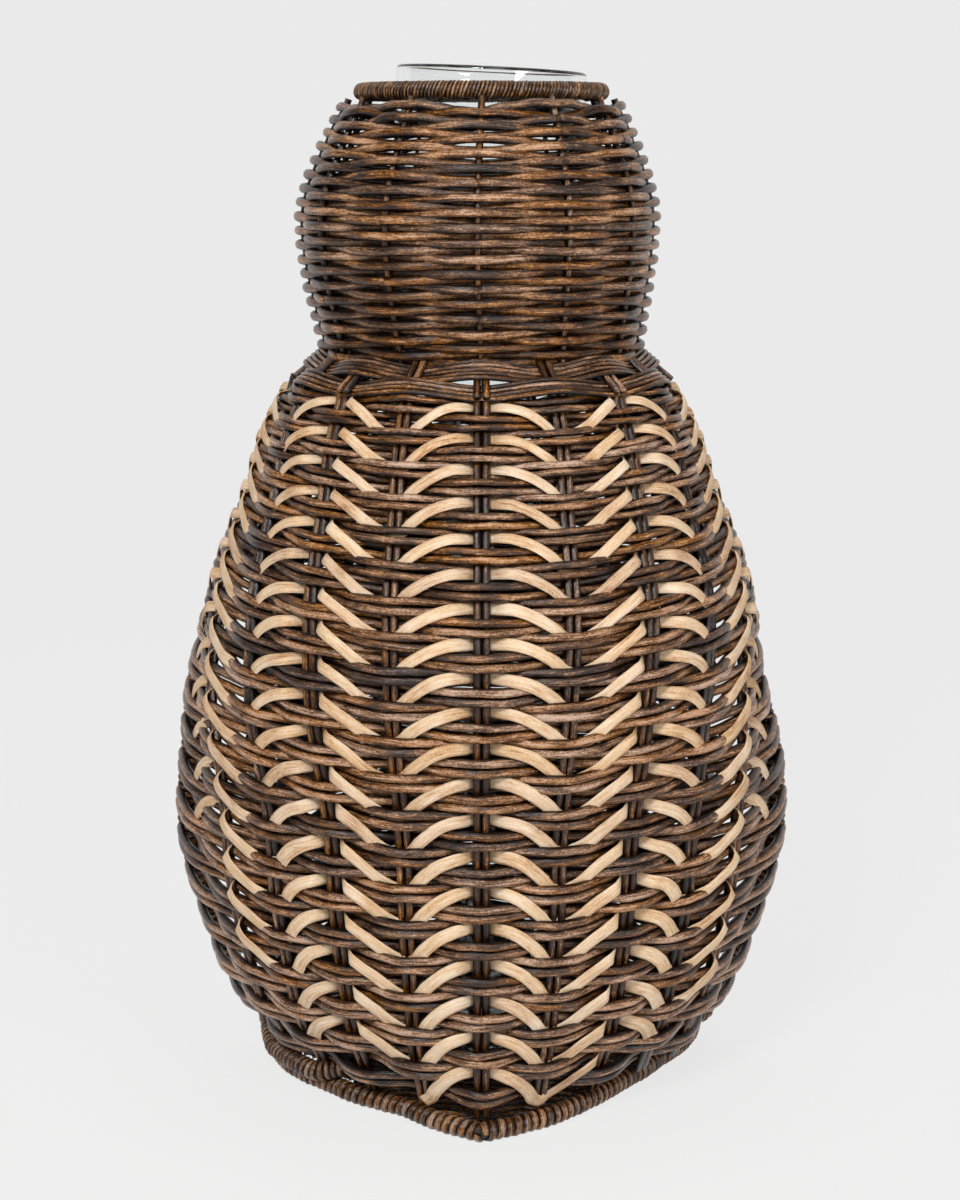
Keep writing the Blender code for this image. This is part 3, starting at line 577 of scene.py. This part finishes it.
def lay_stakes(bundle):
    """Double uprights of the back, and the short ones at its upper sides."""
    low = HOOP * 2 - 0.001
    count = 60
    for number in range(-SIDE_COUNT - 2, SIDE_COUNT + 3):
        short = abs(number) > SIDE_COUNT
        height = np.linspace(UPPER_ZONE + 0.002 if short else low, BODY_TOP + 0.002, count)
        angle = stake_angle(number, height, edge_number(BODY_TOP))
        centre, normal = place_on_body(height, angle, np.zeros(count))
        along = unit(body_surface(height, angle + 0.5) - body_surface(height, angle - 0.5))
        for side in (-1, 1):
            shift = side * (STAKE * SIDE_BY_SIDE + wander(count, 0.005, 0.0001))
            bundle.strand(centre + along * shift[:, None], normal, STAKE, STAKE, random.uniform(-0.5, 0.3))


def wrap(bundle, path, radius, width, thickness, closed=False, tilt=UP, starts=1, spread=1.0):
    """Fine reed wound tightly round a core that follows a path, in one or more slanting starts."""
    path = np.asarray(path, float)
    if closed:
        path = np.concatenate([path, path[:1]])
    distance = lengths_along(path)
    turns = int(distance[-1] / (width * SIDE_BY_SIDE * starts))
    per_turn = 12 * (starts + 1) // 2
    count = turns * per_turn + 1
    place = np.linspace(0, distance[-1], count)
    core = np.stack([np.interp(place, distance, path[:, axis]) for axis in range(3)], axis=-1)
    ahead = unit(np.gradient(core, axis=0))
    side = unit(np.cross(ahead, tilt))
    up = np.cross(side, ahead)
    for begin in range(starts):
        turn = np.arange(count) * (2 * pi / per_turn) + 2 * pi * begin / starts
        around = np.cos(turn)[:, None] * side + np.sin(turn)[:, None] * up
        start = 0
        while start < count - 1:
            stop = min(count - 1, start + per_turn * random.randint(14, 40))
            part = slice(start, stop + 1)
            own = random.random() - 0.5
            waves = 0.1 * np.sin(place[part] * 400 + random.uniform(0, 6))
            tone = 0.5 + spread * (own + waves)
            lift = radius - thickness / 2 + wander(stop + 1 - start, 0.003, 0.00012)
            bundle.strand(core[part] + around[part] * lift[:, None], around[part], width / 2,
                          thickness / 2, tone, sides=6)
            start = stop


def base_outline(shift, count=96):
    """Line of the hoop's centre on the floor, moved inwards."""
    angle = np.linspace(0, 360, count, endpoint=False)
    angle = np.where(angle > 180, angle - 360, angle)
    places, insets = zip(*HOOP_INSETS)
    inset = shift + np.interp(angle, places, insets)[:, None]
    outline = body_surface(np.zeros(count), angle)
    ahead = unit(np.roll(outline, -1, axis=0) - np.roll(outline, 1, axis=0))
    inward = np.stack([-ahead[:, 1], ahead[:, 0], np.zeros(count)], axis=-1)
    return outline + inward * inset


# Materials

def new_material(name):
    """Material with its nodes, links and shader."""
    material = bpy.data.materials.new(name)
    material.use_nodes = True
    nodes, links = material.node_tree.nodes, material.node_tree.links
    return material, nodes, links, nodes["Principled BSDF"]


def set_inputs(node, **values):
    """Give inputs of a node their values; an underscore stands for a space."""
    for name, value in values.items():
        node.inputs[name.replace("_", " ")].default_value = value
    return node


def add_node(nodes, kind, **values):
    """New node with values for its inputs."""
    return set_inputs(nodes.new("ShaderNode" + kind), **values)


def math_node(nodes, links, operation, first, second):
    """Result of a calculation with two sockets or numbers."""
    made = add_node(nodes, "Math")
    made.operation = operation
    for socket, value in zip(made.inputs, (first, second)):
        if isinstance(value, (int, float)):
            socket.default_value = value
        else:
            links.new(value, socket)
    return made.outputs[0]


def add_relief(nodes, links, shader, height, strength, distance):
    """Fine bumps on a shader, from a height socket."""
    relief = add_node(nodes, "Bump", Strength=strength, Distance=distance)
    links.new(height, relief.inputs["Height"])
    links.new(relief.outputs["Normal"], shader.inputs["Normal"])


def reed_material(name, colours, gloss, bump, spots=0.85, tone_share=0.28, tint_spread=0.4,
                  crown_shade_share=0.55):
    """Reed with streaks along the strand, blotches, fine pores, painted shade that darkens each strand
    towards its sides and lightens its crown, and an uneven sheen.

    colours are stops of a position and a screen colour, from the darkest streaks to the lightest.
    """
    material, nodes, links, shader = new_material(name)

    def scaled(value, share):
        return math_node(nodes, links, "MULTIPLY", value, share)

    def added(first, second):
        return math_node(nodes, links, "ADD", first, second)

    def strand_value(layer, output="Fac"):
        made = add_node(nodes, "Attribute")
        made.attribute_name = layer
        return made.outputs[output]

    grain, tone, crown_shade = strand_value("grain", "Vector"), strand_value("tone"), strand_value("crown_shade")

    def noise(scale, detail):
        stretch = add_node(nodes, "VectorMath")
        stretch.operation = "MULTIPLY"
        stretch.inputs[1].default_value = scale
        links.new(grain, stretch.inputs[0])
        made = add_node(nodes, "TexNoise", Scale=1.0, Detail=detail, Roughness=0.6)
        links.new(stretch.outputs[0], made.inputs["Vector"])
        return made.outputs["Fac"]

    streaks = noise((90, 1500, 1500), 4)
    blotches = noise((60, 150, 150), 3)
    fibres = noise((420, 3600, 3600), 3)
    pores = noise((1300, 1900, 1900), 2)
    mixed = 0.5
    # the first term is painted shade: strands darken towards their sides, where neighbours shade them, and
    # lighten along their crowns
    shares = ((crown_shade, 0.72, crown_shade_share), (streaks, 0.5, 1.0), (blotches, 0.5, 1.0), (fibres, 0.5, spots),
              (pores, 0.5, spots), (tone, 0.5, tone_share))
    for value, middle, share in shares:
        mixed = added(mixed, scaled(math_node(nodes, links, "SUBTRACT", value, middle), share))
    ramp = add_node(nodes, "ValToRGB")
    stops = ramp.color_ramp.elements
    while len(stops) < len(colours):
        stops.new(0.5)
    for stop, (position, *colour) in zip(stops, colours):
        stop.position = position
        stop.color = (*srgb(*colour), 1.0)
    links.new(mixed, ramp.inputs["Fac"])
    tint = add_node(nodes, "HueSaturation")
    own_share = math_node(nodes, links, "FRACT", scaled(tone, 7.3), 0)
    links.new(added(scaled(own_share, tint_spread), 1.2 - tint_spread / 2), tint.inputs["Saturation"])
    links.new(ramp.outputs["Color"], tint.inputs["Color"])
    links.new(tint.outputs["Color"], shader.inputs["Base Color"])
    links.new(added(scaled(streaks, 0.35), gloss), shader.inputs["Roughness"])
    set_inputs(shader, Specular_IOR_Level=0.5)
    add_relief(nodes, links, shader, added(streaks, scaled(fibres, 0.4)), bump, 0.0004)
    return material


def srgb(*channels):
    """Linear colour for a screen colour in 0 to 255."""
    return tuple(((c / 255 + 0.055) / 1.055) ** 2.4 if c > 10 else c / 255 / 12.92 for c in channels)


# dark and wrap reed carry the full painted shade on their strands' sides; the pale strips only a little
dark_reed = reed_material("dark_reed", [
    (0.14, 14, 6, 4), (0.36, 46, 29, 20), (0.54, 96, 70, 53), (0.68, 148, 108, 76),
    (0.86, 200, 168, 146)], 0.12, 0.7)
wrap_reed = reed_material("wrap_reed", [
    (0.14, 16, 8, 5), (0.38, 56, 37, 26), (0.58, 108, 80, 60),
    (0.84, 188, 154, 128)], 0.15, 0.7)
pale_reed = reed_material("pale_reed", [
    (0.1, 146, 104, 76), (0.34, 208, 175, 144), (0.58, 230, 205, 178),
    (0.85, 244, 228, 208)], 0.42, 0.55, 0.45, tone_share=0.16, tint_spread=0.2, crown_shade_share=0.05)


def dark_wood_material():
    """Turned dark wood with fine rings and a soft polish."""
    material, nodes, links, shader = new_material("dark_wood")
    where = add_node(nodes, "TexCoord")
    wave = add_node(nodes, "TexWave", Scale=180, Distortion=6, Detail=4)
    links.new(where.outputs["Object"], wave.inputs["Vector"])
    ramp = add_node(nodes, "ValToRGB")
    ramp.color_ramp.elements[0].color = (*srgb(30, 18, 12), 1)
    ramp.color_ramp.elements[1].color = (*srgb(74, 48, 33), 1)
    links.new(wave.outputs["Fac"], ramp.inputs["Fac"])
    links.new(ramp.outputs["Color"], shader.inputs["Base Color"])
    set_inputs(shader, Roughness=0.3)
    add_relief(nodes, links, shader, wave.outputs["Fac"], 0.3, 0.0003)
    return material


def glass_material():
    """Clear glass with a faint waviness."""
    material, nodes, links, shader = new_material("clear_glass")
    set_inputs(shader, Base_Color=(0.97, 0.99, 0.985, 1), Roughness=0.0, IOR=1.5, Transmission_Weight=1.0)
    where = add_node(nodes, "TexCoord")
    ripple = add_node(nodes, "TexNoise", Scale=25)
    links.new(where.outputs["Object"], ripple.inputs["Vector"])
    add_relief(nodes, links, shader, ripple.outputs["Fac"], 0.15, 0.0005)
    return material


dark_wood = dark_wood_material()
clear_glass = glass_material()


def dress(item, nodes, body="basket"):
    """Hang a piece on its body in place of CAD nodes."""
    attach(item, body)
    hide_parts(*nodes)


def numbered(stem, count):
    """Names of a row of CAD nodes."""
    return ["%s_%d" % (stem, i + 1) for i in range(count)]


def wrapped_ring(name, nodes, line, facing, radius, core, width, thickness, **winding):
    """Closed core with fine reed wound round it."""
    bundle = Bundle()
    wrap(bundle, line, radius, width, thickness, closed=True, **winding)
    bundle.strand(line, facing, core, core, CORE_TONE, closed=True)
    dress(bundle.build(name, wrap_reed), nodes)


def make_cloak():
    """Back and sides."""
    stake_nodes = numbered("back_stake", 2 * SIDE_COUNT + 1)
    for name, lay, material, slot, nodes in (
            ("cloak_weavers", lay_weavers, dark_reed, "woven_reed", ["back_weave"]),
            ("cloak_strips", lay_strips, pale_reed, "pale_reed", ["back_weave"]),
            ("cloak_stakes", lay_stakes, dark_reed, "dark_reed", stake_nodes)):
        bundle = Bundle()
        lay(bundle)
        dress(bundle.build(name, material), nodes)


def border_tail(side, end_angle):
    """Line and normals of a border's lower end, which lies on the hoop and dips inside at last."""
    settle_angle, settle_width, settle_reach = 76, 12, 0.0045
    dip_depth, dip_width = 0.009, 9
    angle = np.linspace(end_angle, BORDER_SIDE_ANGLE - 3, 24)
    settled = np.clip((settle_angle - angle) / settle_width, 0, 1)
    dip = dip_depth * np.clip(1 - (angle - end_angle) / dip_width, 0, 1) ** 1.5
    height = HOOP * 2 + BORDER - 0.0004 - 0.0014 * settled
    return lifted(body_surface, height, side * angle, BORDER_LINE + settle_reach * settled - dip)


def make_borders():
    """Wing borders: a core wrapped with reed, whose left end runs on along the hoop."""
    height = np.linspace(HOOP * 2 + BORDER, BODY_TOP - BORDER, 160)
    for side, name, end_angle in ((1, "right_wing_border", 76.0), (-1, "left_wing_border", 36.0)):
        centre, normal, _ = border_frame(height, side)
        tail, tail_normal = border_tail(side, end_angle)
        centre, normal = np.concatenate([tail, centre]), np.concatenate([tail_normal, normal])
        bundle = Bundle()
        wrap(bundle, centre, BORDER, 0.0029, 0.0019, tilt=[0.0, 1.0, 0.0], spread=0.8)
        bundle.strand(centre, normal, BORDER - WRAP_DEPTH, BORDER - WRAP_DEPTH, CORE_TONE)
        dress(bundle.build("woven_" + name, wrap_reed), [name])


def make_hoop():
    """Wrapped rod on the floor."""
    wrapped_ring("woven_base_hoop", ["base_hoop"], base_outline(0) + UP * HOOP, UP, HOOP + 0.0001,
                 HOOP - WRAP_DEPTH, 0.0036, 0.0019, spread=0.8)


def make_floor():
    """Flat weave inside the hoop: single rods over and under double bars."""
    weave = Bundle()
    line = base_outline(HOOP - 0.0002)
    right = line[:len(line) // 2 + 1]
    low, high = line[:, 1].min(), line[:, 1].max()
    middle, rod, reach, spacing = 0.003, 0.0014, 0.0014, 0.016
    bar_shift, bar_width, bar_thickness = 0.0016, 0.0015, 0.0013

    def half_width(depth):
        return float(np.interp(depth, right[:, 1], right[:, 0]))

    for row, depth in enumerate(np.arange(low + 0.003, high - 0.002, 2 * rod * SIDE_BY_SIDE)):
        end = half_width(depth) - rod
        if end < 0.004:
            continue
        count = max(8, int(end / 0.0016))
        x = np.linspace(-end, end, count)
        lift = reach * np.cos(pi * x / spacing) * (1 if row % 2 else -1)
        path = np.stack([x, np.full(count, depth), middle + lift], axis=-1)
        weave.strand(path, UP, rod, rod * 0.9, random.random(), sides=6)
    for number in range(-5, 6):
        x = number * spacing
        inside = [y for y in np.linspace(low + 0.002, high - 0.002, 90) if half_width(y) > abs(x) + rod]
        count = len(inside)
        if count < 4:
            continue
        for side in (-1, 1):
            across = np.full(count, x + side * bar_shift)
            path = np.stack([across, inside, np.full(count, middle)], axis=-1)
            weave.strand(path, UP, bar_width, bar_thickness, random.random(), sides=6)
    dress(weave.build("woven_base_floor", dark_reed), ["base_floor"])


def make_belly_stakes():
    """Double uprights of the front."""
    stakes = Bundle()
    height = np.linspace(HOOP * 2, BELLY_TOP, 50)
    for number in range(-4, 5):
        centre, normal = lifted(belly_surface, height, 180 + number * BELLY_PITCH, STAKE_LINE)
        along = unit(np.cross(UP, normal))
        for side in (-1, 1):
            aside = along * side * STAKE * SIDE_BY_SIDE
            stakes.strand(centre + aside, normal, STAKE, STAKE, random.random())
    dress(stakes.build("belly_uprights", dark_reed), numbered("belly_stake", 7))


def make_belly_weave():
    """Front wall between the wings: pairs of dark rods, with a pale strip in every third row."""
    dark, pale = Bundle(), Bundle()
    reach, pair_rise, strip_rise, pair_shift = 0.0034, 0.0056, 0.0044, 0.0017
    count = 241
    number = np.linspace(-5.7, 5.7, count)
    angle = 180 + number * BELLY_PITCH
    height, row = 0.0125, 0
    while height < BELLY_TOP - 0.003:
        is_strip = row % 3 == 1
        swing = reach * np.cos(pi * number) * (1 if row % 2 else -1)
        centre, normal = lifted(belly_surface, height, angle, STAKE_LINE + swing)
        if is_strip:
            pale.strand(centre, normal, 0.0025, 0.0006, random.random(), sides=10)
        else:
            for side in (-1, 1):
                shift = side * pair_shift + wander(count, 0.002, 0.0003)
                dark.strand(centre + np.outer(shift, UP), normal, 0.00176, 0.0017, random.random())
        height += strip_rise if is_strip else pair_rise
        row += 1
    dress(dark.build("belly_weavers", dark_reed), ["belly_weave"])
    dress(pale.build("belly_strips", pale_reed), ["belly_weave"])


def neck_number(angle):
    """Number of an upright of the neck at an angle; the back's own stakes come first."""
    past = (np.abs(angle) - NECK_INNER) / (180 - NECK_INNER) * SIDE_COUNT
    return np.sign(angle) * np.where(past > 0, SIDE_COUNT + past, np.abs(angle) / TOP_STAKE_PITCH)


def make_neck():
    """Thin rods laid round the slope of the neck, in two groups that pass its uprights in turn."""
    bundle = Bundle()
    rod, rod_count, lower_group, reach = 0.00105, 9, 4, 0.0019
    foot = np.array([0.077, BODY_TOP + 0.0002])
    head = np.array([0.064, HEAD_BOTTOM + 0.001])
    along = unit(head - foot)
    outside = np.array([along[1], -along[0]])
    count = 360
    angle = np.linspace(-180, 180, count, endpoint=False)
    turn = np.radians(angle)
    swing = reach * np.cos(pi * neck_number(angle))
    for place in range(rod_count):
        side = -1 if place < lower_group else 1
        drift = wander(count, 0.0013, 0.0003) * np.sin((turn + pi) / 2)
        slope = foot + (head - foot) * place / (rod_count - 1)
        slope = slope + np.outer(side * swing, outside) + np.outer(drift, along)
        path = around_axis(slope[:, 0], turn, slope[:, 1])
        facing = around_axis(outside[0], turn, outside[1])
        bundle.strand(path, facing, rod, rod, random.uniform(-0.1, 0.75), closed=True)
    slope = foot + np.linspace(-0.04, 1.3, 14)[:, None] * (head - foot)
    for upright in range(-2 * SIDE_COUNT, 2 * SIDE_COUNT):
        size = abs(upright)
        past = max(0, size - SIDE_COUNT) / SIDE_COUNT * (180 - NECK_INNER)
        middle = copysign(min(size, SIDE_COUNT) * TOP_STAKE_PITCH + past, upright)
        for side in (-1, 1):
            bearing = radians(middle + side * 1.35)
            path = around_axis(slope[:, 0], bearing, slope[:, 1])
            facing = around_axis(outside[0], bearing, outside[1])
            bundle.strand(path, facing, STAKE * 0.92, STAKE * 0.85, random.uniform(-0.2, 0.6))
    dress(bundle.build("woven_neck_band", dark_reed), ["neck_band"])


def make_head_weave():
    """Single rods in plain weave, evenly spaced along the head's slope."""
    rods = Bundle()
    scale = np.linspace(HEAD_BOTTOM, HEAD_TOP, 200)
    profile = head_surface(scale, 90.0)[:, [0, 2]]
    climb = lengths_along(profile)
    levels = np.interp((np.arange(HEAD_ROW_COUNT) + 0.4) / HEAD_ROW_COUNT * climb[-1], climb, scale)
    per_stake, step, reach = 12, 0.0032, 0.0025
    count = HEAD_STAKE_COUNT * per_stake + 1
    for row, level in enumerate(levels):
        start = random.randrange(HEAD_STAKE_COUNT) * 2 + (1 if row % 2 else 0)
        number = start + np.linspace(0, HEAD_STAKE_COUNT, count)
        angle = number * 360 / HEAD_STAKE_COUNT
        swing = np.cos(pi * number) * (-1 if row % 2 else 1)
        cut = random.choice([None, random.randrange(3, 9)])
        loose = 0.001 if row > HEAD_ROW_COUNT - 4 else 0.0003
        height = level + wander(count, step, loose)
        lift = HEAD_STAKE_LINE + reach * swing + wander(count, step, 0.00025)
        path, normal = lifted(head_surface, height, angle, lift)
        ends = [0, count - 1] if cut is None else [0, cut * per_stake, count - 1]
        for first, stop in zip(ends, ends[1:]):
            size = HEAD_ROD * random.uniform(0.92, 1.05)
            rods.strand(path[first:stop + 1], normal[first:stop + 1], size * 1.12, size * 0.9,
                        random.uniform(-0.1, 0.8))
    dress(rods.build("head_weavers", dark_reed), ["head_weave"])


def make_head_stakes():
    """Single uprights of the head."""
    stakes = Bundle()
    height = np.linspace(HEAD_BOTTOM - 0.004, HEAD_TOP + 0.001, 40)
    for number in range(HEAD_STAKE_COUNT):
        angle = 360.0 * number / HEAD_STAKE_COUNT
        path, normal = lifted(head_surface, height, angle, HEAD_STAKE_LINE)
        stakes.strand(path, normal, HEAD_STAKE, HEAD_STAKE, random.uniform(-0.3, 0.5))
    dress(stakes.build("head_uprights", dark_reed), numbered("head_stake", HEAD_STAKE_COUNT))


def make_rim():
    """Ring of the mouth, wrapped with fine reed."""
    turn = np.linspace(0, 2 * pi, 240, endpoint=False)
    line = around_axis(0.0479, turn, (RIM_BOTTOM + RIM_TOP) / 2 - 0.001)
    wrapped_ring("woven_top_rim", ["top_rim"], line, UP, 0.0034, 0.0029, 0.0014, 0.001,
                 starts=4, spread=0.45)


def lathe(name, profile, steps, material):
    """Turn a profile of (radius, height) round Z."""
    turn = np.linspace(0, 2 * pi, steps, endpoint=False)
    radius, height = np.array(profile, float).T
    points = np.stack([np.outer(radius, np.cos(turn)), np.outer(radius, np.sin(turn)),
                       np.repeat(height[:, None], steps, axis=1)], axis=-1).reshape(-1, 3)
    faces = []
    for first in range(0, (len(profile) - 1) * steps, steps):
        for k in range(steps):
            after = (k + 1) % steps
            faces.append((first + k, first + after, first + steps + after, first + steps + k))
    return add_mesh(name, points.tolist(), faces, material)


def make_glass():
    """Clear cylinder with a rounded lip and a thick foot, leaning on the rim."""
    outer, wall, base, foot_round, well_round = 0.038, 0.0025, 0.006, 0.002, 0.003
    mouth, clearance, floor_top, above_rim = 0.0423, 0.0005, 0.0063, 0.0035
    lean = radians(2.7)
    foot = floor_top + outer * sin(lean)
    length = (RIM_TOP + above_rim - foot) / cos(lean)
    climb = (RIM_BOTTOM + RIM_TOP) / 2 - foot
    centre = mouth - clearance - outer / cos(lean) - climb * tan(lean)
    # the walls get points of their own beside the rounds, so that they shade flat
    edge = length - wall / 2 - 0.0003
    profile = [(0.0001, 0.0004)]
    profile += arc((outer - foot_round, foot_round), foot_round, -pi / 2, 0, 5)
    profile += [(outer, foot_round + 0.0004), (outer, edge)]
    profile += arc((outer - wall / 2, length - wall / 2), wall / 2, 0, pi, 9)
    profile += [(outer - wall, edge), (outer - wall, base + well_round + 0.0004)]
    profile += arc((outer - wall - well_round, base + well_round), well_round, 0, -pi / 2, 6)
    profile += [(0.0001, base)]
    item = lathe("glass_cylinder", profile, 96, clear_glass)
    item.location = (centre, 0, foot)
    item.rotation_euler = (0, lean, 0)
    dress(item, ["glass_insert"], "glass")


def make_eye(side, name):
    """Coiled disc with a wrapped ring and a dark pupil."""
    turn = radians(side * 21.0)
    facing = np.array([sin(turn), cos(turn), 0.0])
    across = np.array([cos(turn), -sin(turn), 0.0])
    head = float(smooth(HEAD_RADII, EYE_HEIGHT))
    origin = facing * (head + 0.0023) + UP * EYE_HEIGHT

    def circle(radius, sweep):
        return origin + np.outer(radius * np.cos(sweep), across) + np.outer(radius * np.sin(sweep), UP)

    coil = Bundle()
    turns, coil_start, coil_reach = 8.6, 0.0015, 0.0158
    sweep = np.linspace(0, 2 * pi * turns, 560)
    radius = coil_start + coil_reach * sweep / sweep[-1]
    path = circle(radius, sweep) + np.outer(0.0008 * (1 - radius / 0.018), facing)
    coil.strand(path, facing, 0.00095, 0.0019, 0.6 + 0.3 * np.sin(sweep * 0.7))
    dress(coil.build(name + "_coiled_eye", pale_reed), [name + "_eye_disc"])
    ring = circle(0.0215, np.linspace(0, 2 * pi, 120, endpoint=False))
    wrapped_ring(name + "_wrapped_ring", [name + "_eye_ring"], ring, facing, 0.003, 0.0025, 0.0022, 0.0008,
                 tilt=facing)
    pupil_radius, pupil_height = 0.0078, 0.0045
    dome = [(0.0001, pupil_height)]
    dome += [(pupil_radius * sin(t), pupil_height * cos(t) + 0.0001)
             for t in np.linspace(0.15, pi / 2, 10)]
    dome += [(pupil_radius - 0.0002, -0.0002), (0.0001, -0.0002)]
    pupil = lathe(name + "_turned_pupil", dome, 48, dark_wood)
    pupil.rotation_euler = Vector(facing).to_track_quat("Z", "Y").to_euler()
    pupil.location = Vector(facing * (head + 0.0046) + UP * EYE_HEIGHT)
    dress(pupil, [name + "_pupil"])


def make_beak():
    """Pointed beak that curves down from between the eyes."""
    root, tip, drop, length, count = 0.0058, 0.0012, 0.017, 0.025, 30
    share = np.linspace(0, 1, count)
    height = EYE_HEIGHT - drop - length * share
    lift = smooth(HEAD_RADII, height) + 0.0055 + 0.0031 * np.sin(pi * share * 0.8)
    size = root * (1 + (tip / root - 1) * share ** 1.4) * np.minimum(1, 0.45 + share * 6)
    beak = Bundle()
    path = np.stack([np.zeros(count), lift, height], axis=-1)
    beak.strand(path, [0.0, 1.0, 0.0], size * 0.9, size, 0.5, sides=20)
    dress(beak.build("carved_beak", dark_wood), ["beak"])


def studio_material():
    """Pale matt surface that the camera sees, also in glass and gloss, mostly as an even tone."""
    material, nodes, links, shader = new_material("studio")
    set_inputs(shader, Base_Color=(0.84, 0.84, 0.84, 1), Roughness=0.9, Specular_IOR_Level=0.1)
    glow = add_node(nodes, "Emission", Color=(0.89, 0.89, 0.89, 1))
    ray = add_node(nodes, "LightPath")
    share = ray.outputs["Is Camera Ray"]
    for kind in ("Is Glossy Ray", "Is Transmission Ray"):
        share = math_node(nodes, links, "MAXIMUM", share, ray.outputs[kind])
    share = math_node(nodes, links, "MULTIPLY", share, 0.85)
    blend = add_node(nodes, "MixShader")
    for source, socket in zip((share, shader.outputs[0], glow.outputs[0]), blend.inputs):
        links.new(source, socket)
    links.new(blend.outputs[0], nodes["Material Output"].inputs["Surface"])
    return material


def make_backdrop():
    """Floor that curves up into a wall far behind."""
    bend, back = 0.9, 1.2
    profile = [(-3.0, 0.0), (back, 0.0)]
    profile += arc((back, bend), bend, 0.1 - pi / 2, 0, 14)
    profile += [(back + bend, 4.0)]
    points = [(x, y, z) for y, z in profile for x in (-4.0, 4.0)]
    faces = [(2 * i, 2 * i + 1, 2 * i + 3, 2 * i + 2) for i in range(len(profile) - 1)]
    backdrop = add_mesh("backdrop", points, faces, studio_material())


def soft_light(name, place, aim, size, power):
    """Square lamp that looks at a point."""
    data = bpy.data.lights.new(name, "AREA")
    data.shape = "RECTANGLE"
    data.size, data.size_y = size, size
    data.energy = power
    lamp = add_object(name, data)
    lamp.location = place
    lamp.rotation_euler = (Vector(aim) - Vector(place)).to_track_quat("-Z", "Y").to_euler()


def make_lights():
    """Even surrounding light and three soft lamps."""
    world = bpy.data.worlds.new("studio_light")
    bpy.context.scene.world = world
    world.use_nodes = True
    set_inputs(world.node_tree.nodes["Background"], Color=(1, 1, 1, 1), Strength=0.25)
    soft_light("key_light", (-0.45, -1.5, 1.25), (0, 0, 0.2), 0.4, 20)
    soft_light("fill_light", (1.0, -1.3, 0.65), (0, 0, 0.2), 0.5, 8)
    soft_light("top_light", (0, 0.1, 1.9), (0, 0, 0), 1.2, 6)


def place_camera():
    """Camera that fits the photograph, behind and above the vase."""
    focal_pixels, frame_height, sensor, downwards = 2460, 1200, 36, 10.4
    data = bpy.data.cameras.new("camera")
    data.lens = focal_pixels * sensor / frame_height
    data.sensor_width = sensor
    camera = add_object("camera", data)
    camera.location = (-0.0006, -1.006, 0.384)
    camera.rotation_euler = (radians(90 - downwards), 0, 0)
    bpy.context.scene.camera = camera
    bpy.context.scene.view_settings.view_transform = "Standard"


make_cloak()
make_borders()
make_hoop()
make_floor()
make_belly_stakes()
make_belly_weave()
make_neck()
make_head_weave()
make_head_stakes()
make_rim()
make_glass()
make_eye(1, "right")
make_eye(-1, "left")
make_beak()
make_backdrop()
make_lights()
place_camera()
